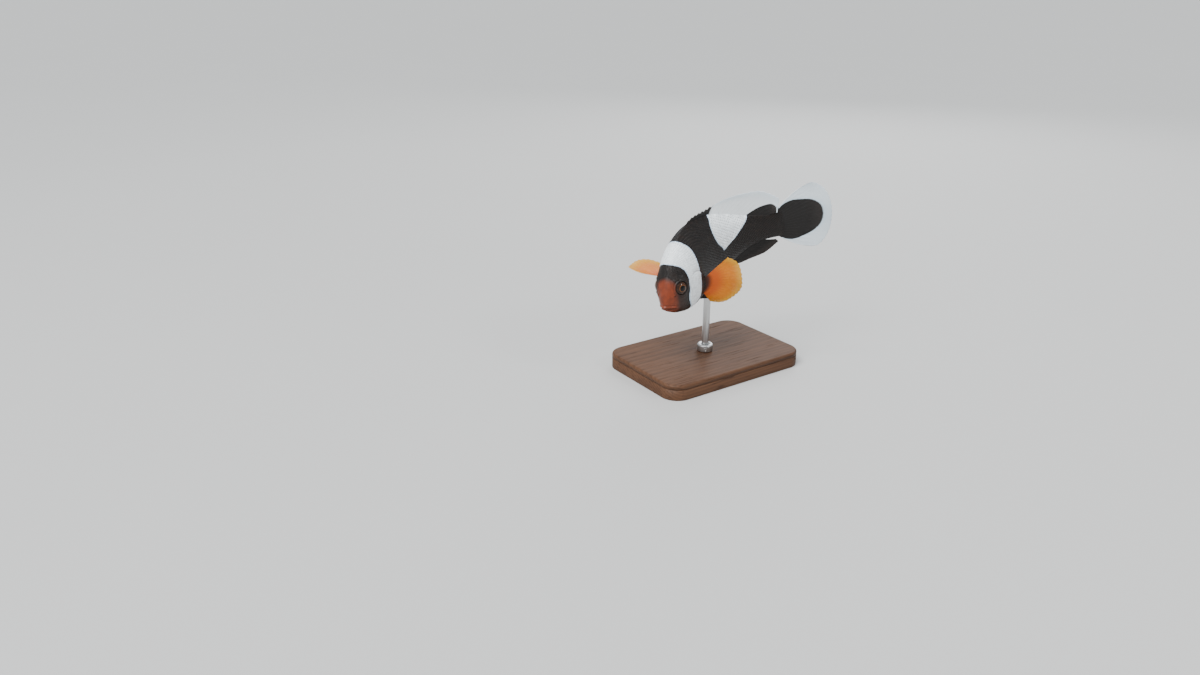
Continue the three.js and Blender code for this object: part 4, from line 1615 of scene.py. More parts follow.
# ---- shared effects
class Markings:
    """The fish's markings, read from the straight frame by skin and scales alike.

    Each border is a curve of the distance behind the snout over the height, a share of the depth.
    """

    band_front = (
        (-0.42, 17.5), (-0.33, 15.8), (-0.25, 14.6), (-0.16, 13.0), (-0.11, 12.7), (-0.02, 13.6),
        (0.09, 15.1), (0.16, 16.1), (0.22, 16.2), (0.29, 15.4), (0.345, 13.9), (0.37, 12.9),
    )
    band_rear = (
        (-0.42, 18.5), (-0.33, 21.5), (-0.25, 23.3), (-0.13, 25.0), (0.0, 26.3), (0.07, 27.2),
        (0.15, 27.6), (0.33, 28.0), (0.4, 27.6), (0.43, 27.0), (0.51, 25.4),
    )
    saddle_front = (
        (-0.02, 56.6), (0.02, 56.2), (0.1, 53.7), (0.17, 52.1), (0.24, 51.2), (0.33, 50.9),
        (0.38, 51.2), (0.45, 53.1), (0.5, 54.4),
    )
    saddle_rear = (
        (-0.02, 56.6), (0.0, 59.0), (0.02, 62.0), (0.045, 65.4), (0.07, 67.8), (0.14, 72.7),
        (0.21, 76.7), (0.26, 78.4),
    )
    snout = ((-0.42, 4.2), (-0.2, 5.2), (-0.07, 5.4), (0.04, 5.7), (0.13, 6.5), (0.19, 7.3), (0.24, 7.0))
    band_foot, saddle_foot = 0.43, 0.012  # how far the white reaches under the midline
    waver_scale, waver = 0.9, 0.7  # of every border
    blue_fade, blue = (1.1, 0.1), 0.55  # of the white towards its border
    snout_fade = (-1.7, 1.3)
    cheek_fade, cheek_heights, cheek = (-7.5, -1.0), (0.1, -0.04), 0.85
    belly_heights, belly_stations = (-0.12, -0.42), (70, 30)
    mottle_scale, mottle_fade, mottle = 0.35, (0.45, 0.75), 0.35
    face_fade, face_shade = (0.3, 0.8), 0.45

    @classmethod
    def group(cls) -> NodeTree:
        """The shader group that turns a place on the fish into its colour.

        Returns:
            The group, whose inputs are a place and the markings' colours.
        """
        found = bpy.data.node_groups.get("markings")
        if found:
            return found
        inputs = {
            "Place": ("Vector", None),
            "Dark": ("Color", (0.0075, 0.006, 0.0055, 1)),
            "Belly": ("Color", (0.022, 0.012, 0.008, 1)),
            "White": ("Color", (0.86, 0.9, 0.92, 1)),
            "Border": ("Color", (0.3, 0.5, 0.75, 1)),
            "Snout": ("Color", (0.19, 0.031, 0.008, 1)),
            "Cheek": ("Color", (0.032, 0.011, 0.006, 1)),
            "Softness": ("Float", 0.25),
        }
        outputs = {"Colour": "Color", "White": "Float", "Snout": "Float"}
        tree = Tree.group("markings", "ShaderNodeTree", inputs, outputs)
        given = tree.source
        x, _, z = tree.split(given["Place"])
        waver = tree.minus(tree.noise(given["Place"], cls.waver_scale, 3.0), 0.5)
        x = tree.times_plus(waver, cls.waver, x)
        height = tree.math("DIVIDE", z, Shape.depth)

        def within(front: Sequence, rear: Sequence, foot: float) -> Socket:
            """Distance inside a white marking's borders and over its foot."""
            behind = tree.minus(x, tree.curve(height, front))
            ahead = tree.minus(tree.curve(height, rear), x)
            between = tree.math("MINIMUM", behind, ahead)
            return tree.math("MINIMUM", between, tree.times(tree.plus(height, foot), Shape.depth))

        band = within(cls.band_front, cls.band_rear, cls.band_foot)
        saddle = within(cls.saddle_front, cls.saddle_rear, cls.saddle_foot)
        inside = tree.math("MAXIMUM", band, saddle)
        white = tree.step(tree.math("DIVIDE", inside, given["Softness"]), -0.5, 0.5)
        border = tree.times(tree.step(inside, *cls.blue_fade), cls.blue)
        ahead = tree.minus(tree.curve(height, cls.snout), x)
        snout = tree.step(ahead, *cls.snout_fade)
        cheek = tree.times(tree.step(ahead, *cls.cheek_fade), tree.step(height, *cls.cheek_heights))
        low = tree.step(height, *cls.belly_heights)
        mottle = tree.noise(given["Place"], cls.mottle_scale, 3.0, 0.6)
        dark = tree.mix(tree.times(low, tree.step(x, *cls.belly_stations)), given["Dark"], given["Belly"])
        dark = tree.mix(tree.times(tree.step(mottle, *cls.mottle_fade), cls.mottle), dark, given["Belly"])
        dark = tree.mix(tree.times(cheek, cls.cheek), dark, given["Cheek"])
        share = tree.step(mottle, *cls.face_fade)
        face = tree.mix(share, given["Snout"], tree.mix(cls.face_shade, given["Snout"], given["Dark"]))
        pale = tree.mix(border, given["White"], given["Border"])
        colour = tree.mix(white, tree.mix(snout, dark, face), pale)
        return tree.result({"Colour": colour, "White": white, "Snout": snout})


class Grain:
    """Fine unevenness of a surface, shared by skin and fins."""

    finer = 6.0  # the fine noise's scale over the coarse one's
    fine_share = 0.4

    @classmethod
    def group(cls) -> NodeTree:
        """The shader group of the unevenness.

        Returns:
            The group, which gives a value round 0.5 and a height at a place in millimetres.
        """
        found = bpy.data.node_groups.get("grain")
        if found:
            return found
        inputs = {"Place": ("Vector", None), "Scale": ("Float", 1.0), "Detail": ("Float", 3.0)}
        tree = Tree.group("grain", "ShaderNodeTree", inputs, {"Value": "Float", "Height": "Float"})
        given = tree.source
        coarse = tree.noise(given["Place"], given["Scale"])
        fine = tree.noise(given["Place"], tree.times(given["Scale"], cls.finer), given["Detail"])
        value = tree.times_plus(fine, cls.fine_share, tree.times(coarse, 1 - cls.fine_share))
        return tree.result({"Value": value, "Height": fine})


# ---- finishes
@dataclass(frozen=True)
class Finish:
    """A surface finish: what is the same all over it, and a method for what varies."""

    name: str
    roughness: float = 0.4
    smoother: float = 0.05  # how far the roughness varies below that, and above it
    rougher: float = 0.12
    bump_m: float = 0.00005  # what a height of 1 stands for
    bump_strength: float = 0.5
    coat: float = 0.0
    coat_roughness: float = 0.1
    coat_ior: float = 1.5
    specular: float = 0.5
    metallic: float = 0.0

    def dress(self, tree: Tree) -> dict[str, Feed]:
        """What feeds the shader's inputs, by name.

        Args:
            tree: the material's.

        Returns:
            A value or a socket for each input.
        """
        raise NotImplementedError

    def rough(self, tree: Tree, share: Feed) -> Socket:
        """The roughness: least where share is 0, most where it is 1."""
        return tree.level(share, self.roughness - self.smoother, self.roughness + self.rougher)

    def bump(self, tree: Tree, height: Feed) -> Socket:
        """The normal, bent by a height."""
        feeds = {"Height": height, "Distance": self.bump_m, "Strength": self.bump_strength}
        return tree.add("ShaderNodeBump", feeds).outputs[0]

    def make(self) -> Material:
        """Makes the material.

        Returns:
            The shader with its plain numbers and what dress gives.
        """
        material = bpy.data.materials.new(self.name)
        material.use_nodes = True
        material.node_tree.nodes.clear()
        tree = Tree(material.node_tree)
        plain = {
            "Roughness": self.roughness,
            "Coat Weight": self.coat,
            "Coat Roughness": self.coat_roughness,
            "Coat IOR": self.coat_ior,
            "Specular IOR Level": self.specular,
            "Metallic": self.metallic,
        }
        shader = tree.add("ShaderNodeBsdfPrincipled", plain)
        tree.feed(shader, self.dress(tree))
        tree.add("ShaderNodeOutputMaterial", {"Surface": shader.outputs[0]})
        return material


@dataclass(frozen=True)
class SkinFinish(Finish):
    """Bare skin, with painted shade in its creases."""

    smoother: float = 0.1
    rougher: float = 0.14
    bump_m: float = 0.00006
    grain: float = 0.8
    # painted shade: the dark colour that the creases are shaded towards
    crease: Colour = (0.012, 0.006, 0.004, 1)
    crease_share: float = 0.9

    def dress(self, tree: Tree) -> dict[str, Feed]:
        """What feeds the shader's inputs, by name."""
        place = tree.read("fish")
        colour = tree.use(Markings.group(), {"Place": place})["Colour"]
        value, height = tree.use(Grain.group(), {"Place": place, "Scale": self.grain})
        # darker here and there at random, by the grain
        shade = tree.mix(tree.level(value, 0.0, 0.5), colour, tree.mix(0.5, colour, self.crease))
        # painted shade in the creases
        painted_crease_shade = tree.times(tree.read("crease", "Fac"), self.crease_share)
        return {
            "Base Color": tree.mix(painted_crease_shade, shade, self.crease),
            "Roughness": self.rough(tree, value),
            "Normal": self.bump(tree, height),
        }


@dataclass(frozen=True)
class ScaleFinish(Finish):
    """Scales: the markings, with a lighter rim on dark ones and painted shade along the rim of pale ones.
    """

    bump_m: float = 0.000012
    bump_strength: float = 0.6
    rim_dark: Colour = (0.05, 0.036, 0.03, 1)
    rim_face: Colour = (0.16, 0.032, 0.008, 1)
    # painted shade along the rim of pale scales
    rim_pale: Colour = (0.52, 0.6, 0.66, 1)
    rim_share: float = 0.42
    rim_fade: Pair = (0.55, 1.0)
    round_from: float = 0.42  # share of a scale's length from which its outline is round
    round_stretch: float = 1.75
    round_power: float = 2.4
    tone_bright: float = 0.09  # how much scales differ in brightness and in roughness
    tone_rough: float = 0.05
    mean_bright: float = 0.96
    pore_across: Pair = (0.3, 0.12)
    pore_along: Pair = (0.4, 0.55)
    pore_share: float = 0.25
    pore_height: float = 3.0
    rings: Pair = (42.0, 0.35)  # radians in a scale, and height
    spokes: Pair = (34.0, 0.25)

    def dress(self, tree: Tree) -> dict[str, Feed]:
        """What feeds the shader's inputs, by name."""
        colour, white, snout = tree.use(Markings.group(), {"Place": tree.read("fish")})
        across, along, _ = tree.split(tree.read("plate"))
        tone = tree.read("tone", "Fac")
        beyond = tree.minus(along, self.round_from)
        aside = tree.math("POWER", tree.absolute(across), self.round_power)
        behind = tree.times(tree.math("MAXIMUM", beyond, 0.0), self.round_stretch)
        ring = tree.plus(aside, tree.math("POWER", behind, self.round_power))
        rim = tree.step(ring, *self.rim_fade)
        # a lighter rim on dark scales, and painted shade along the rim of pale ones
        rim_colour = tree.mix(white, tree.mix(snout, self.rim_dark, self.rim_face), self.rim_pale)
        edge = tree.mix(tree.times(rim, self.rim_share), colour, rim_colour)
        bright = {"Value": tree.times_plus(tone, self.tone_bright, self.mean_bright), "Color": edge}
        toned = tree.add("ShaderNodeHueSaturation", bright).outputs[0]
        pored = tree.read("pore", "Fac")
        pore = tree.times(pored, tree.step(tree.absolute(across), *self.pore_across))
        pore = tree.times(pore, tree.step(along, *self.pore_along))
        base = tree.mix(tree.times(pore, self.pore_share), toned, rim_colour)
        rings, spokes = (
            tree.math("SINE", tree.times(place, waves))
            for place, (waves, _) in ((ring, self.rings), (across, self.spokes))
        )
        height = tree.plus(tree.times(rings, self.rings[1]), tree.times(spokes, self.spokes[1]))
        height = tree.times_plus(pore, self.pore_height, height)
        return {
            "Base Color": base,
            "Roughness": tree.times_plus(tone, self.tone_rough, self.rough(tree, rim)),
            "Normal": self.bump(tree, height),
        }


@dataclass(frozen=True)
class FinPlace:
    """What a fin's pattern is painted by, in a material's tree."""

    tree: Tree
    across: Socket
    along: Socket
    value: Socket  # uneven, round 0.5


@dataclass(frozen=True)
class FinFinish(Finish):
    """Fin skin over jointed rays, thinner and clearer towards the edge."""

    smoother: float = 0.08
    rougher: float = 0.14
    bump_m: float = 0.00004
    bump_strength: float = 0.6
    grain: float = 0.7
    pattern: FinPattern = FinPattern.DARK
    dark: Colour = (0.008, 0.0065, 0.006, 1)
    edge: Colour = (0.035, 0.024, 0.02, 1)
    white: Colour = (0.84, 0.88, 0.9, 1)
    tint: Colour = (0.68, 0.8, 0.89, 1)
    flame: Colour = (0.5, 0.082, 0.003, 1)
    amber: Colour = (0.62, 0.185, 0.004, 1)
    lemon: Colour = (0.68, 0.335, 0.016, 1)
    # painted shade at the breast fin's root, where it meets the body
    foot: Colour = (0.045, 0.012, 0.005, 1)
    ray: Colour = (0.7, 0.66, 0.64, 1)
    ray_share: float = 0.28
    clear_from: Pair = (0.45, 1.0)
    clear_edge: float = 0.9  # how much light the thinnest membrane stops
    joints: float = 210.0  # radians along a ray
    joint_height: float = 0.5
    edge_fade: Pair = (0.5, 1.0)
    saddle_start: Pair = (53.7, 54.3)
    saddle_foot: Line = (
        (74.2, 0.0), (75.2, 0.27), (76.2, 0.47), (78.0, 0.66), (80.2, 0.82), (81.8, 0.93),
    )
    foot_softness: float = 0.025
    tint_fade: Pair = (0.55, 1.0)
    tint_share: float = 0.5
    margin: Line = (
        (0.0, 0.84), (0.25, 0.815), (0.45, 0.73), (0.7, 0.5), (0.82, 0.385), (0.95, 0.2), (1.0, 0.08),
    )  # where the tail's white starts, from its middle ray to its outer ones
    margin_waver: float = 0.02
    margin_softness: float = 0.015
    margin_tint: Pair = (0.0, 0.12)
    margin_tint_share: float = 0.45
    amber_fade: Pair = (0.3, 0.66)
    mottle_fade: Pair = (0.45, 0.62)
    mottle_share: float = 0.2
    lemon_fade: Pair = (0.72, 1.0)
    # where the painted shade at the breast fin's root fades out
    foot_fade: Pair = (0.26, 0.1)

    def dress(self, tree: Tree) -> dict[str, Feed]:
        """What feeds the shader's inputs, by name."""
        place = tree.read("fish")
        across, along, ray = tree.split(tree.read("fin"))
        value, height = tree.use(Grain.group(), {"Place": place, "Scale": self.grain})
        painters: dict[FinPattern, Callable[[FinPlace], Socket]] = {
            FinPattern.DARK: self.paint_dark,
            FinPattern.SADDLE: self.paint_saddle,
            FinPattern.TAIL: self.paint_tail,
            FinPattern.BREAST: self.paint_breast,
        }
        colour = painters[self.pattern](FinPlace(tree, across, along, value))
        ribbed = tree.times(ray, self.ray_share)
        base = tree.mix(ribbed, colour, tree.mix(1.0, colour, self.ray, "MULTIPLY"))
        rough = self.rough(tree, value)
        thin = tree.times(tree.step(along, *self.clear_from), tree.minus(1.0, ray))
        alpha = tree.level(thin, 1.0, self.clear_edge)
        jointed = tree.times(tree.math("SINE", tree.times(along, self.joints)), ray)
        relief = tree.times_plus(jointed, self.joint_height, height)
        normal = self.bump(tree, relief)
        return {"Base Color": base, "Roughness": rough, "Alpha": alpha, "Normal": normal}

    def paint_dark(self, at: FinPlace) -> Socket:
        """Black, a little browner towards the edge."""
        share = at.tree.times(at.tree.step(at.along, *self.edge_fade), at.value)
        return at.tree.mix(share, self.dark, self.edge)

    def paint_saddle(self, at: FinPlace) -> Socket:
        """Black spines, then the saddle's white, with a black foot at the rear."""
        tree = at.tree
        below = tree.minus(tree.curve(at.across, self.saddle_foot), at.along)
        foot = tree.step(below, -self.foot_softness, self.foot_softness)
        white = tree.times(tree.step(at.across, *self.saddle_start), tree.minus(1.0, foot))
        tinted = tree.times(tree.step(at.along, *self.tint_fade), self.tint_share)
        pale = tree.mix(tinted, self.white, self.tint)
        return tree.mix(white, self.paint_dark(at), pale)

    def paint_tail(self, at: FinPlace) -> Socket:
        """Black, with a broad white margin round its corners."""
        tree = at.tree
        off_middle = tree.absolute(tree.times_plus(at.across, 2.0, -1.0))
        beyond = tree.minus(at.along, tree.curve(off_middle, self.margin))
        beyond = tree.plus(beyond, tree.level(at.value, -self.margin_waver, self.margin_waver))
        white = tree.step(beyond, -self.margin_softness, self.margin_softness)
        tinted = tree.times(tree.step(beyond, *self.margin_tint), self.margin_tint_share)
        pale = tree.mix(tinted, self.tint, self.white)
        return tree.mix(white, self.paint_dark(at), pale)

    def paint_breast(self, at: FinPlace) -> Socket:
        """Deep orange near the root, amber beyond it and yellow at the edge, with painted shade at the root
        where it meets the body.
        """
        tree = at.tree
        blade = tree.mix(tree.step(at.along, *self.amber_fade), self.flame, self.amber)
        mottle = tree.times(tree.step(at.value, *self.mottle_fade), self.mottle_share)
        mottled = tree.mix(mottle, blade, self.flame)
        outer = tree.mix(tree.step(at.along, *self.lemon_fade), mottled, self.lemon)
        # painted shade at the root, where the fin meets the body
        return tree.mix(tree.step(at.along, *self.foot_fade), outer, self.foot)


@dataclass(frozen=True)
class EyeFinish(Finish):
    """A dark iris with a thin copper ring round the pupil, under a clear wet front."""

    smoother: float = 0.0
    rougher: float = 0.1
    pupil: float = 1.62  # its radius
    pupil_edge: Pair = (0.05, -0.08)  # measured from that radius, like the ring's
    ring_inside: Pair = (-0.06, 0.12)
    ring_outside: Pair = (0.5, 0.12)
    ring_share: Pair = (0.35, 1.0)
    fleck_fade: Pair = (0.16, 0.34)
    rim_fade: Pair = (2.9, 3.6)
    streak_noise: Triple = (9.0, 4.0, 0.7)  # scale, detail and roughness
    fleck_noise: Triple = (2.6, 3.0, 0.6)
    pupil_colour: Colour = (0.001, 0.001, 0.0012, 1)
    copper: Colour = (0.22, 0.075, 0.018, 1)
    iris: Colour = (0.05, 0.018, 0.007, 1)
    rim: Colour = (0.008, 0.005, 0.004, 1)

    def dress(self, tree: Tree) -> dict[str, Feed]:
        """What feeds the shader's inputs, by name."""
        across, up, _ = tree.split(tree.read("iris"))
        flat = tree.join(X=across, Y=up)
        away = tree.add("ShaderNodeVectorMath", {0: flat}, operation="LENGTH").outputs["Value"]

        def near_pupil(fade: Pair) -> Socket:
            """A step at distances that are measured from the pupil's radius."""
            return tree.step(away, self.pupil + fade[0], self.pupil + fade[1])

        streak = tree.noise(tree.vector("NORMALIZE", flat), *self.streak_noise)
        fleck = tree.noise(flat, *self.fleck_noise)
        body = tree.mix(tree.step(tree.times(streak, fleck), *self.fleck_fade), self.rim, self.iris)
        ring = tree.times(near_pupil(self.ring_inside), near_pupil(self.ring_outside))
        lit = tree.mix(tree.times(ring, tree.level(streak, *self.ring_share)), body, self.copper)
        outer = tree.mix(tree.step(away, *self.rim_fade), lit, self.rim)
        return {
            "Base Color": tree.mix(near_pupil(self.pupil_edge), outer, self.pupil_colour),
            "Roughness": self.rough(tree, fleck),
        }


@dataclass(frozen=True)
class WoodFinish(Finish):
    """Dark oiled hardwood, its grain along the base, with end grain on its short sides.

    The scales of its patterns are for across the grain and along it.
    """

    smoother: float = 0.0
    late: Colour = (0.040, 0.017, 0.008, 1)
    early: Colour = (0.098, 0.044, 0.021, 1)
    pore: Colour = (0.012, 0.005, 0.003, 1)
    pith: Triple = (-0.07, 0.0, -0.16)
    ring_m: float = 0.0017
    ring_waver: float = 2.6
    pore_scales: Pair = (900.0, 45.0)
    waver_scales: Pair = (40.0, 9.0)
    streak_scales: Pair = (160.0, 14.0)
    fibre_scales: Pair = (2600.0, 90.0)
    late_rise: Pair = (0.1, 0.85)  # of the way through a ring
    late_fall: Pair = (1.0, 0.86)
    streak_fade: Pair = (0.35, 0.65)
    pore_fade: Pair = (0.56, 0.72)
    ring_share: float = 0.32
    fibre_share: float = 0.3
    streak_share: float = 0.35
    pore_share: float = 0.75
    pore_rough: float = 0.25

    def dress(self, tree: Tree) -> dict[str, Feed]:
        """What feeds the shader's inputs, by name."""
        place = tree.object_place()

        def scaled(scales: Pair) -> Socket:
            """The place, scaled across the grain and along it."""
            return tree.vector("MULTIPLY", place, (scales[0], scales[1], scales[0]))

        waver = tree.noise(scaled(self.waver_scales), 1.0, 3.0)
        x, _, z = tree.split(tree.vector("SUBTRACT", place, self.pith))
        radius = tree.math("SQRT", tree.plus(tree.times(x, x), tree.times(z, z)))
        phase = tree.times_plus(waver, self.ring_waver, tree.math("DIVIDE", radius, self.ring_m))
        ring = tree.math("FRACT", phase)
        late = tree.times(tree.step(ring, *self.late_rise), tree.step(ring, *self.late_fall))
        streaks = tree.noise(scaled(self.streak_scales), 1.0, 4.0, 0.6)
        pores = tree.step(tree.noise(scaled(self.pore_scales), 1.0, 3.0, 0.62), *self.pore_fade)
        fibre = tree.noise(scaled(self.fibre_scales), 1.0, 2.0)
        shade = tree.times_plus(fibre, self.fibre_share, tree.times(late, self.ring_share))
        shade = tree.times_plus(tree.step(streaks, *self.streak_fade), self.streak_share, shade)
        base = tree.mix(shade, self.early, self.late)
        return {
            "Base Color": tree.mix(tree.times(pores, self.pore_share), base, self.pore),
            "Roughness": tree.times_plus(pores, self.pore_rough, self.rough(tree, fibre)),
            "Normal": self.bump(tree, tree.times_plus(pores, -1.0, tree.times(fibre, self.fibre_share))),
        }


@dataclass(frozen=True)
class SteelFinish(Finish):
    """Brushed stainless steel, with fine rings round the bar."""

    bump_m: float = 0.000008
    pale: Colour = (0.62, 0.62, 0.61, 1)
    dull: Colour = (0.42, 0.42, 0.43, 1)
    dull_share: float = 0.8
    brush_scales: Triple = (120.0, 120.0, 9000.0)
    smear_scales: Triple = (300.0, 300.0, 160.0)
    smear_rough: float = 0.1

    def dress(self, tree: Tree) -> dict[str, Feed]:
        """What feeds the shader's inputs, by name."""
        place = tree.object_place()
        brush = tree.noise(tree.vector("MULTIPLY", place, self.brush_scales), 1.0, 2.0)
        smear = tree.noise(tree.vector("MULTIPLY", place, self.smear_scales), 1.0, 3.0)
        return {
            "Base Color": tree.mix(tree.level(smear, 0.0, self.dull_share), self.pale, self.dull),
            "Roughness": tree.times_plus(smear, self.smear_rough, self.rough(tree, brush)),
            "Normal": self.bump(tree, brush),
        }


@dataclass(frozen=True)
class FloorFinish(Finish):
    """A plain pale matt floor."""

    rougher: float = 0.05
    colour: Colour = (0.46, 0.46, 0.455, 1)
    lighter: float = 1.03
    cloud_scale: float = 3.0

    def dress(self, tree: Tree) -> dict[str, Feed]:
        """What feeds the shader's inputs, by name."""
        cloud = tree.noise(tree.object_place(), self.cloud_scale, 3.0)
        lighter = tuple(min(1.0, c * self.lighter) for c in self.colour[:3]) + (1,)
        return {"Base Color": tree.mix(cloud, self.colour, lighter), "Roughness": self.rough(tree, cloud)}


# ---- the stand
@dataclass
class Stand:
    """The display stand: a bevelled wooden base, a steel rod and a collar with its set screw."""

    corner: float = 10.0
    bevel: float = 1.2
    top_run: float = 3.0  # of the top's outermost faces
    foot_round: float = 0.5
    foot_inset: float = 1.4
    groove_height: float = 6.3
    groove_depth: float = 0.35
    groove_width: float = 0.5
    corner_steps: int = 20
    round_steps: int = 8
    bar_sides: int = 96
    rod_into_base: float = 0.2
    rod_into_belly: float = 0.9
    rod_rings: int = 6
    rod_foot: float = 0.1  # its lowest ring over the base
    rod_ends: float = 3.0  # from which those rings keep away
    collar_play: float = 0.05
    collar_edge: float = 0.8
    collar_foot: float = 0.25
    collar_lip: float = 0.2
    screw_radius: float = 0.95
    screw_play: float = 0.06  # round its socket
    screw_drop: float = 0.3  # under the collar's middle
    screw_inside: float = -0.8
    screw_bevel: Triple = (-0.05, 0.12, 0.06)  # from where, inwards, and out of the collar
    socket_depth: float = -0.5
    socket_share: float = 0.5
    socket_sides: int = 6
    screw_steps: int = 48
    screw_turn_deg: float = -38.0

    def outline(self, half: Vector, beyond: float, height: float) -> Array:
        """The base's outline at a height.

        Args:
            half: half the base's size.
            beyond: how far the outline is outside the base's side.
            height: over the floor.

        Returns:
            Its points in millimetres.
        """
        corners = []
        for k, (sx, sy) in enumerate(((1, 1), (-1, 1), (-1, -1), (1, -1))):
            x, y = sx * (half.x - self.corner), sy * (half.y - self.corner)
            corners += quarter(x, y, self.corner + beyond, 90 * k, self.corner_steps)
        return np.column_stack([np.array(corners), np.full(len(corners), height)])

    def base_profile(self, height: float) -> list[Pair]:
        """Places up the base's side, beyond it and in height: rounded edges and one fine groove."""
        foot = quarter(-self.foot_round, self.foot_round, self.foot_round, -90, self.round_steps)
        groove = [
            (-self.groove_depth * (1 - dip * dip), self.groove_height + dip * self.groove_width / 2)
            for dip in np.linspace(-1, 1, self.round_steps + 1)
        ]
        top = quarter(-self.bevel, height - self.bevel, self.bevel, 0, self.round_steps)
        return [(-self.foot_inset, 0.0), *foot, *groove, *top, (-self.bevel - self.top_run, height)]

    def build_base(self, material: Material) -> None:
        """The base, where its solid is.

        Args:
            material: the wood.
        """
        low, high = (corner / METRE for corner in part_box("stand_base"))
        rings = [self.outline((high - low) / 2, *level) for level in self.base_profile(high.z - low.z)]
        points = np.vstack([*rings, [[0, 0, 0], [0, 0, high.z - low.z]]]) * METRE
        made = new_object("base", points, facing_out(points, capped_faces(len(rings), len(rings[0]))))
        hand_over(made, ["stand_base"], material)

    def build_rod(self, material: Material) -> None:
        """The rod, from the base's top into the belly.

        Args:
            material: the steel.
        """
        low, high = (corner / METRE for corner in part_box("stand_rod"))
        bottom, top = low.z - self.rod_into_base, high.z + self.rod_into_belly
        between = np.linspace(low.z + self.rod_ends, high.z - self.rod_ends, self.rod_rings)
        levels = [bottom, low.z + self.rod_foot, *between, top]
        rings = [circle((high.x - low.x) / 2, z, self.bar_sides) for z in levels]
        points = np.vstack([*rings, [[0, 0, bottom], [0, 0, top]]]) * METRE
        made = new_object("rod", points, facing_out(points, capped_faces(len(rings), self.bar_sides)))
        hand_over(made, ["stand_rod"], material)

    def build_collar(self, material: Material) -> None:
        """The collar round the rod, its rounded edges and a socket set screw in its side.

        Args:
            material: the steel.
        """
        low, high = (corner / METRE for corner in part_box("stand_collar"))
        rod_low, rod_high = (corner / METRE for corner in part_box("stand_rod"))
        outer, bore = (high.x - low.x) / 2, (rod_high.x - rod_low.x) / 2 + self.collar_play
        edge, foot_edge, steps = self.collar_edge, self.collar_foot, self.round_steps - 1
        foot = quarter(outer - foot_edge, low.z + foot_edge, foot_edge, -90, steps)
        top = quarter(outer - edge, high.z - edge, edge, 0, steps)
        lip = [(bore + self.collar_lip, high.z), (bore, high.z - self.collar_lip)]
        profile = [(bore, low.z), *foot, *top, *lip]
        ring = np.vstack([circle(radius, z, self.bar_sides) for radius, z in profile])
        faces = grid_faces(len(profile), self.bar_sides, wrap=True)
        last = len(ring) - self.bar_sides
        faces += [tuple(v % len(ring) for v in f) for f in grid_faces(2, self.bar_sides, True, last)]
        faces = facing_out(ring, faces)
        screw, screw_faces = self.screw(outer, (low.z + high.z) / 2 - self.screw_drop)
        faces += [tuple(v + len(ring) for v in f) for f in screw_faces]
        made = new_object("collar", np.vstack([ring, screw]) * METRE, faces)
        hand_over(made, ["stand_collar"], material)

    def screw(self, outer: float, height: float) -> tuple[Array, Faces]:
        """A socket set screw that looks out of the collar towards the fish's left front.

        Args:
            outer: the collar's radius.
            height: of the screw's axis.

        Returns:
            Its points in millimetres, and its faces.
        """
        turn = np.linspace(0, 2 * math.pi, self.screw_steps, endpoint=False)
        half_side = math.pi / self.socket_sides
        off_middle = (turn + half_side) % (2 * half_side) - half_side
        hexagon = self.socket_share * self.screw_radius / np.cos(off_middle)
        bevel, inwards, out = self.screw_bevel
        profile = (
            (self.screw_radius, self.screw_inside),
            (self.screw_radius, bevel),
            (self.screw_radius - inwards, out),
            (hexagon + self.screw_play, out),
            (hexagon, 0.0),
            (hexagon, self.socket_depth),
        )
        rings = [circle(radius, outer + beyond, self.screw_steps) for radius, beyond in profile]
        ends = [[0, 0, outer + self.screw_inside], [0, 0, outer + self.socket_depth]]
        points = np.vstack([*rings, ends])[:, [2, 0, 1]] + (0, 0, height)
        c, s = (f(math.radians(self.screw_turn_deg)) for f in (math.cos, math.sin))
        points = points @ np.array([[c, -s, 0], [s, c, 0], [0, 0, 1]]).T
        return points, facing_out(points, capped_faces(len(rings), self.screw_steps))

    def build(self) -> None:
        """The three pieces of the stand."""
        wood = WoodFinish("oiled_wood", roughness=0.5, specular=0.22).make()
        steel = SteelFinish("brushed_steel", roughness=0.26, metallic=1.0).make()
        self.build_base(wood)
        self.build_rod(steel)
        self.build_collar(steel)


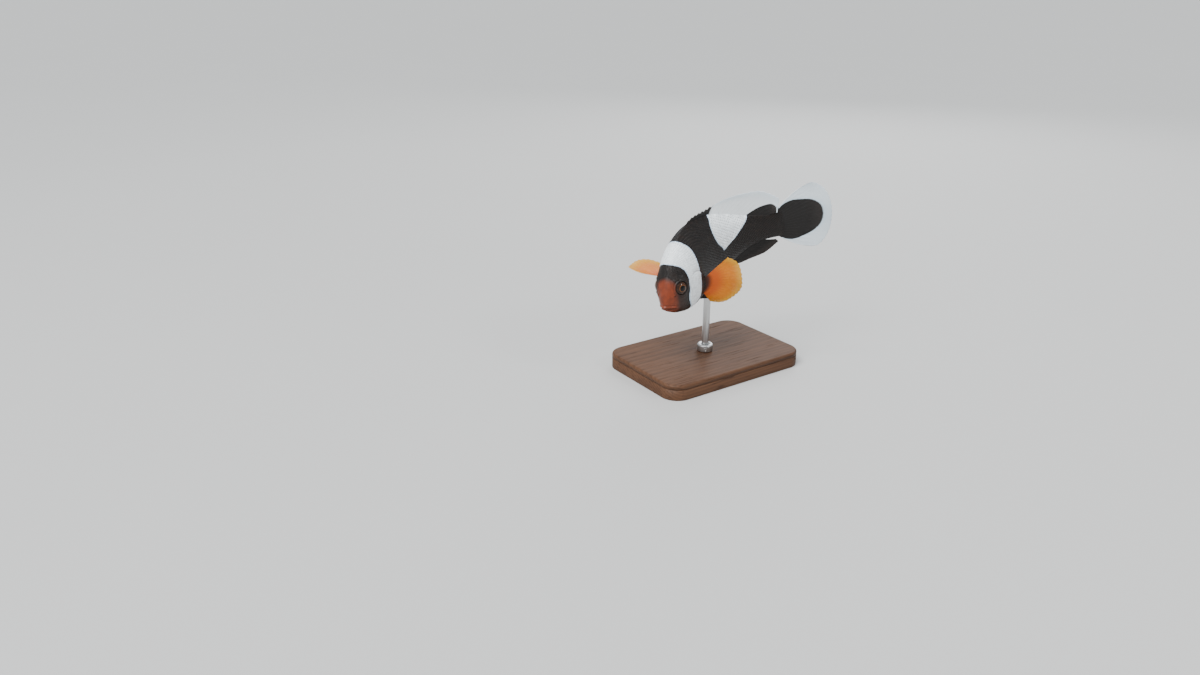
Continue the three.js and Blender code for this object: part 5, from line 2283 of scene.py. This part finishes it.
# ---- the fish
@dataclass
class Clownfish:
    """The whole fish: skin, scales, eyes and fins."""

    shape: Shape = field(default_factory=Shape)
    spiny_end: float = 0.569  # the two parts of the back fin, in shares of the length
    soft_start: float = 0.577
    breast_sink: float = 1.4  # of the fins' roots in the skin
    pelvic_sink: float = 1.8
    pelvic_aside: float = 3.4

    def middle_fins(self, posture: Posture) -> list[Fin]:
        """Back, anal and tail fin.

        Args:
            posture: where the fish is.

        Returns:
            The fins, not built yet.
        """
        start, end = self.shape.back_fin
        spiny = Stretch(
            start,
            self.spiny_end,
            lean=Curve((0, 70), (0.75, 56), (1, 42)),
            reach=Curve((0, 2.9), (0.12, 5.2), (0.35, 6.6), (0.6, 6.1), (0.85, 5.7), (1, 6.3)),
        )
        soft = Stretch(
            self.soft_start,
            end,
            lean=Curve((0, 44), (0.46, 56), (0.88, 69), (1, 82)),
            reach=Curve((0, 6.7), (0.27, 14.6), (0.54, 19.6), (0.77, 18.4), (0.91, 12.2), (1, 8.2)),
            sway=1.2,
        )
        anal = Stretch(
            *self.shape.anal_fin,
            lean=Curve((0, 58), (1, 77)),
            reach=Curve((0, 6.2), (0.25, 10.6), (0.55, 14.2), (0.85, 13.4), (1, 9)),
            sway=1.0,
        )
        return [
            MiddleFin(
                "fin_back", ("back_fin_spiny", "back_fin_soft"), "fin_white", 25, posture,
                pattern=FinPattern.SADDLE, clear_edge=0.86, spines=11, stretches=(spiny, soft),
                wave=0.3, waves=3.0,
            ),
            MiddleFin(
                "fin_anal", ("anal_fin",), "fin_dark", 15, posture,
                spines=2, stretches=(anal,), up=-1, wave=0.3, waves=1.5, spine_notch=0.16,
            ),
            TailFin(
                "fin_tail", ("tail_fin",), "fin_dark", 17, posture,
                pattern=FinPattern.TAIL, clear_edge=0.86, membrane_rows=44, columns_per_ray=10,
                wave=0.45, waves=1.6, ray_root=0.34, notch=0.012,
            ),
        ]

    def breast_fin(self, posture: Posture, side: Side) -> Fin:
        """A breast fin: the left one is spread out, the right one lies nearer to the body.

        Args:
            posture: where the fish is.
            side: which one.

        Returns:
            The fin, not built yet.
        """
        x, z = self.shape.spot(self.shape.breast_fin)
        y = float(self.shape.half_width(x, z)) - self.breast_sink
        if side is Side.LEFT:
            pose = {"back_deg": 51, "down_deg": 18, "roll_deg": -3, "root_roll_deg": -3, "fan_deg": 49}
        else:
            pose = {"back_deg": 5, "down_deg": -18, "roll_deg": -67, "root_roll_deg": -24, "fan_deg": 44}
        return PairedFin(
            f"fin_pectoral_{side.word}", (f"pectoral_fin_{side.word}",), "fin_orange", 18, posture,
            pattern=FinPattern.BREAST, clear_edge=0.8, side=side, root=(x, y, z), **pose,
            reach=Curve((0, 11.5), (0.25, 19.5), (0.55, 25.2), (0.8, 25.2), (1, 19.5)),
            ray_root=0.24, ray_edge=0.09, membrane_edge=0.07, wave=0.4, waves=2.3, notch=0.018,
        )

    def pelvic_fin(self, posture: Posture, side: Side) -> Fin:
        """A pelvic fin, folded back under the belly.

        Args:
            posture: where the fish is.
            side: which one.

        Returns:
            The fin, not built yet.
        """
        x = self.shape.pelvic_fin * self.shape.length
        z = float(self.shape.section(x)[1]) + self.pelvic_sink
        return PairedFin(
            f"fin_pelvic_{side.word}", (f"pelvic_fin_{side.word}",), "fin_dark", 6, posture,
            side=side, root=(x, self.pelvic_aside, z), root_length=3.6,
            back_deg=80, down_deg=15, roll_deg=38, root_roll_deg=38, fan_deg=17,
            reach=Curve((0, 20), (0.25, 25), (0.7, 20), (1, 13)),
            spines=1, spine_notch=0.0, columns_per_ray=12, cup=0.8, wave=0.25, waves=1.0,
        )

    def build(self) -> None:
        """All the pieces of the fish."""
        posture = Posture(self.shape)
        skin = Skin(self.shape, posture, Head(self.shape))
        skin.build(SkinFinish("fish_skin", roughness=0.42, specular=0.3).make())
        Scales(skin).build(ScaleFinish("fish_scales", roughness=0.44, specular=0.22).make())
        eye_finish = EyeFinish(
            "fish_eye", roughness=0.3, specular=0.1, coat=1.0, coat_roughness=0.02, coat_ior=1.25
        ).make()
        for eye in skin.head.eyes():
            eye.build(posture, eye_finish)
        tree = Fin.tree()
        fins = self.middle_fins(posture)
        for side in Side:
            fins += [self.breast_fin(posture, side), self.pelvic_fin(posture, side)]
        for fin in fins:
            finish = FinFinish(
                f"{fin.name}_skin", roughness=0.48, specular=0.3,
                pattern=fin.pattern, clear_edge=fin.clear_edge,
            )
            fin.build(tree, finish.make())


# ---- the studio
@dataclass(frozen=True)
class Lamp:
    """A soft light that shines at the fish."""

    name: str
    kind: str  # SUN or AREA
    place: Triple  # metres
    power: float
    spread: float  # the side of an area light in metres, or the width of the sun in degrees


@dataclass
class Studio:
    """Camera, floor and soft light."""

    camera_place: Triple = (0.3668, -0.3188, 0.2116)  # metres
    camera_way: Triple = (-0.7705, 0.5158, -0.3746)
    lens: float = 27.0
    sensor: float = 36.0
    near_m: float = 0.01
    floor_m: float = 60.0
    sun: Lamp = Lamp("sun", "SUN", (0.16, -0.62, 1.0), 4.6, 38.0)
    lamps: tuple[Lamp, ...] = (
        Lamp("key", "AREA", (0.25, -0.85, 0.75), 5.5, 0.7),
        Lamp("rim", "AREA", (-0.55, 0.75, 0.6), 4.0, 0.6),
        Lamp("glint", "AREA", (0.68, 0.28, 0.53), 1.6, 0.11),
    )
    fish_middle: Triple = (0, 0, 0.07)  # metres
    sky: Colour = (0.80, 0.86, 0.90, 1)
    sky_strength: float = 0.78

    def build(self) -> None:
        """The camera, the floor and the lights."""
        scene = bpy.context.scene
        data = bpy.data.cameras.new("camera")
        data.lens, data.sensor_width, data.clip_start = self.lens, self.sensor, self.near_m
        scene.camera = self.put("camera", data, self.camera_place, self.camera_way)

        corners = self.floor_m / 2 * np.array([(-1, -1, 0), (1, -1, 0), (1, 1, 0), (-1, 1, 0)])
        floor = new_object("floor", corners, [(0, 1, 2, 3)])
        floor.data.materials.append(FloorFinish("pale_floor", roughness=0.7, specular=0.3).make())

        sun = bpy.data.lights.new(self.sun.name, self.sun.kind)
        sun.energy, sun.angle = self.sun.power, math.radians(self.sun.spread)
        self.put(self.sun.name, sun, self.sun.place, -Vector(self.sun.place))
        for lamp in self.lamps:
            light = bpy.data.lights.new(lamp.name, lamp.kind)
            light.energy, light.size = lamp.power, lamp.spread
            self.put(lamp.name, light, lamp.place, Vector(self.fish_middle) - Vector(lamp.place))
        world = bpy.data.worlds.new("studio")
        world.use_nodes = True
        background = world.node_tree.nodes["Background"]
        background.inputs[0].default_value = self.sky
        background.inputs[1].default_value = self.sky_strength
        scene.world = world

    @staticmethod
    def put(name: str, data: bpy.types.ID, place: Triple, way: Vector | Triple) -> Thing:
        """Sets up a camera or a light.

        Args:
            name: of the object.
            data: the camera or the light.
            place: where it is, in metres.
            way: where it looks or shines.

        Returns:
            The object.
        """
        made = bpy.data.objects.new(name, data)
        made.location = place
        made.rotation_euler = Vector(way).to_track_quat("-Z", "Y").to_euler()
        bpy.context.scene.collection.objects.link(made)
        return made


def main() -> None:
    """Builds the studio, the stand and the fish."""
    logging.basicConfig(level=logging.INFO, format="%(name)s: %(message)s")
    Studio().build()
    Stand().build()
    Clownfish().build()
    bpy.context.view_layer.update()


if __name__ == "__main__":
    main()
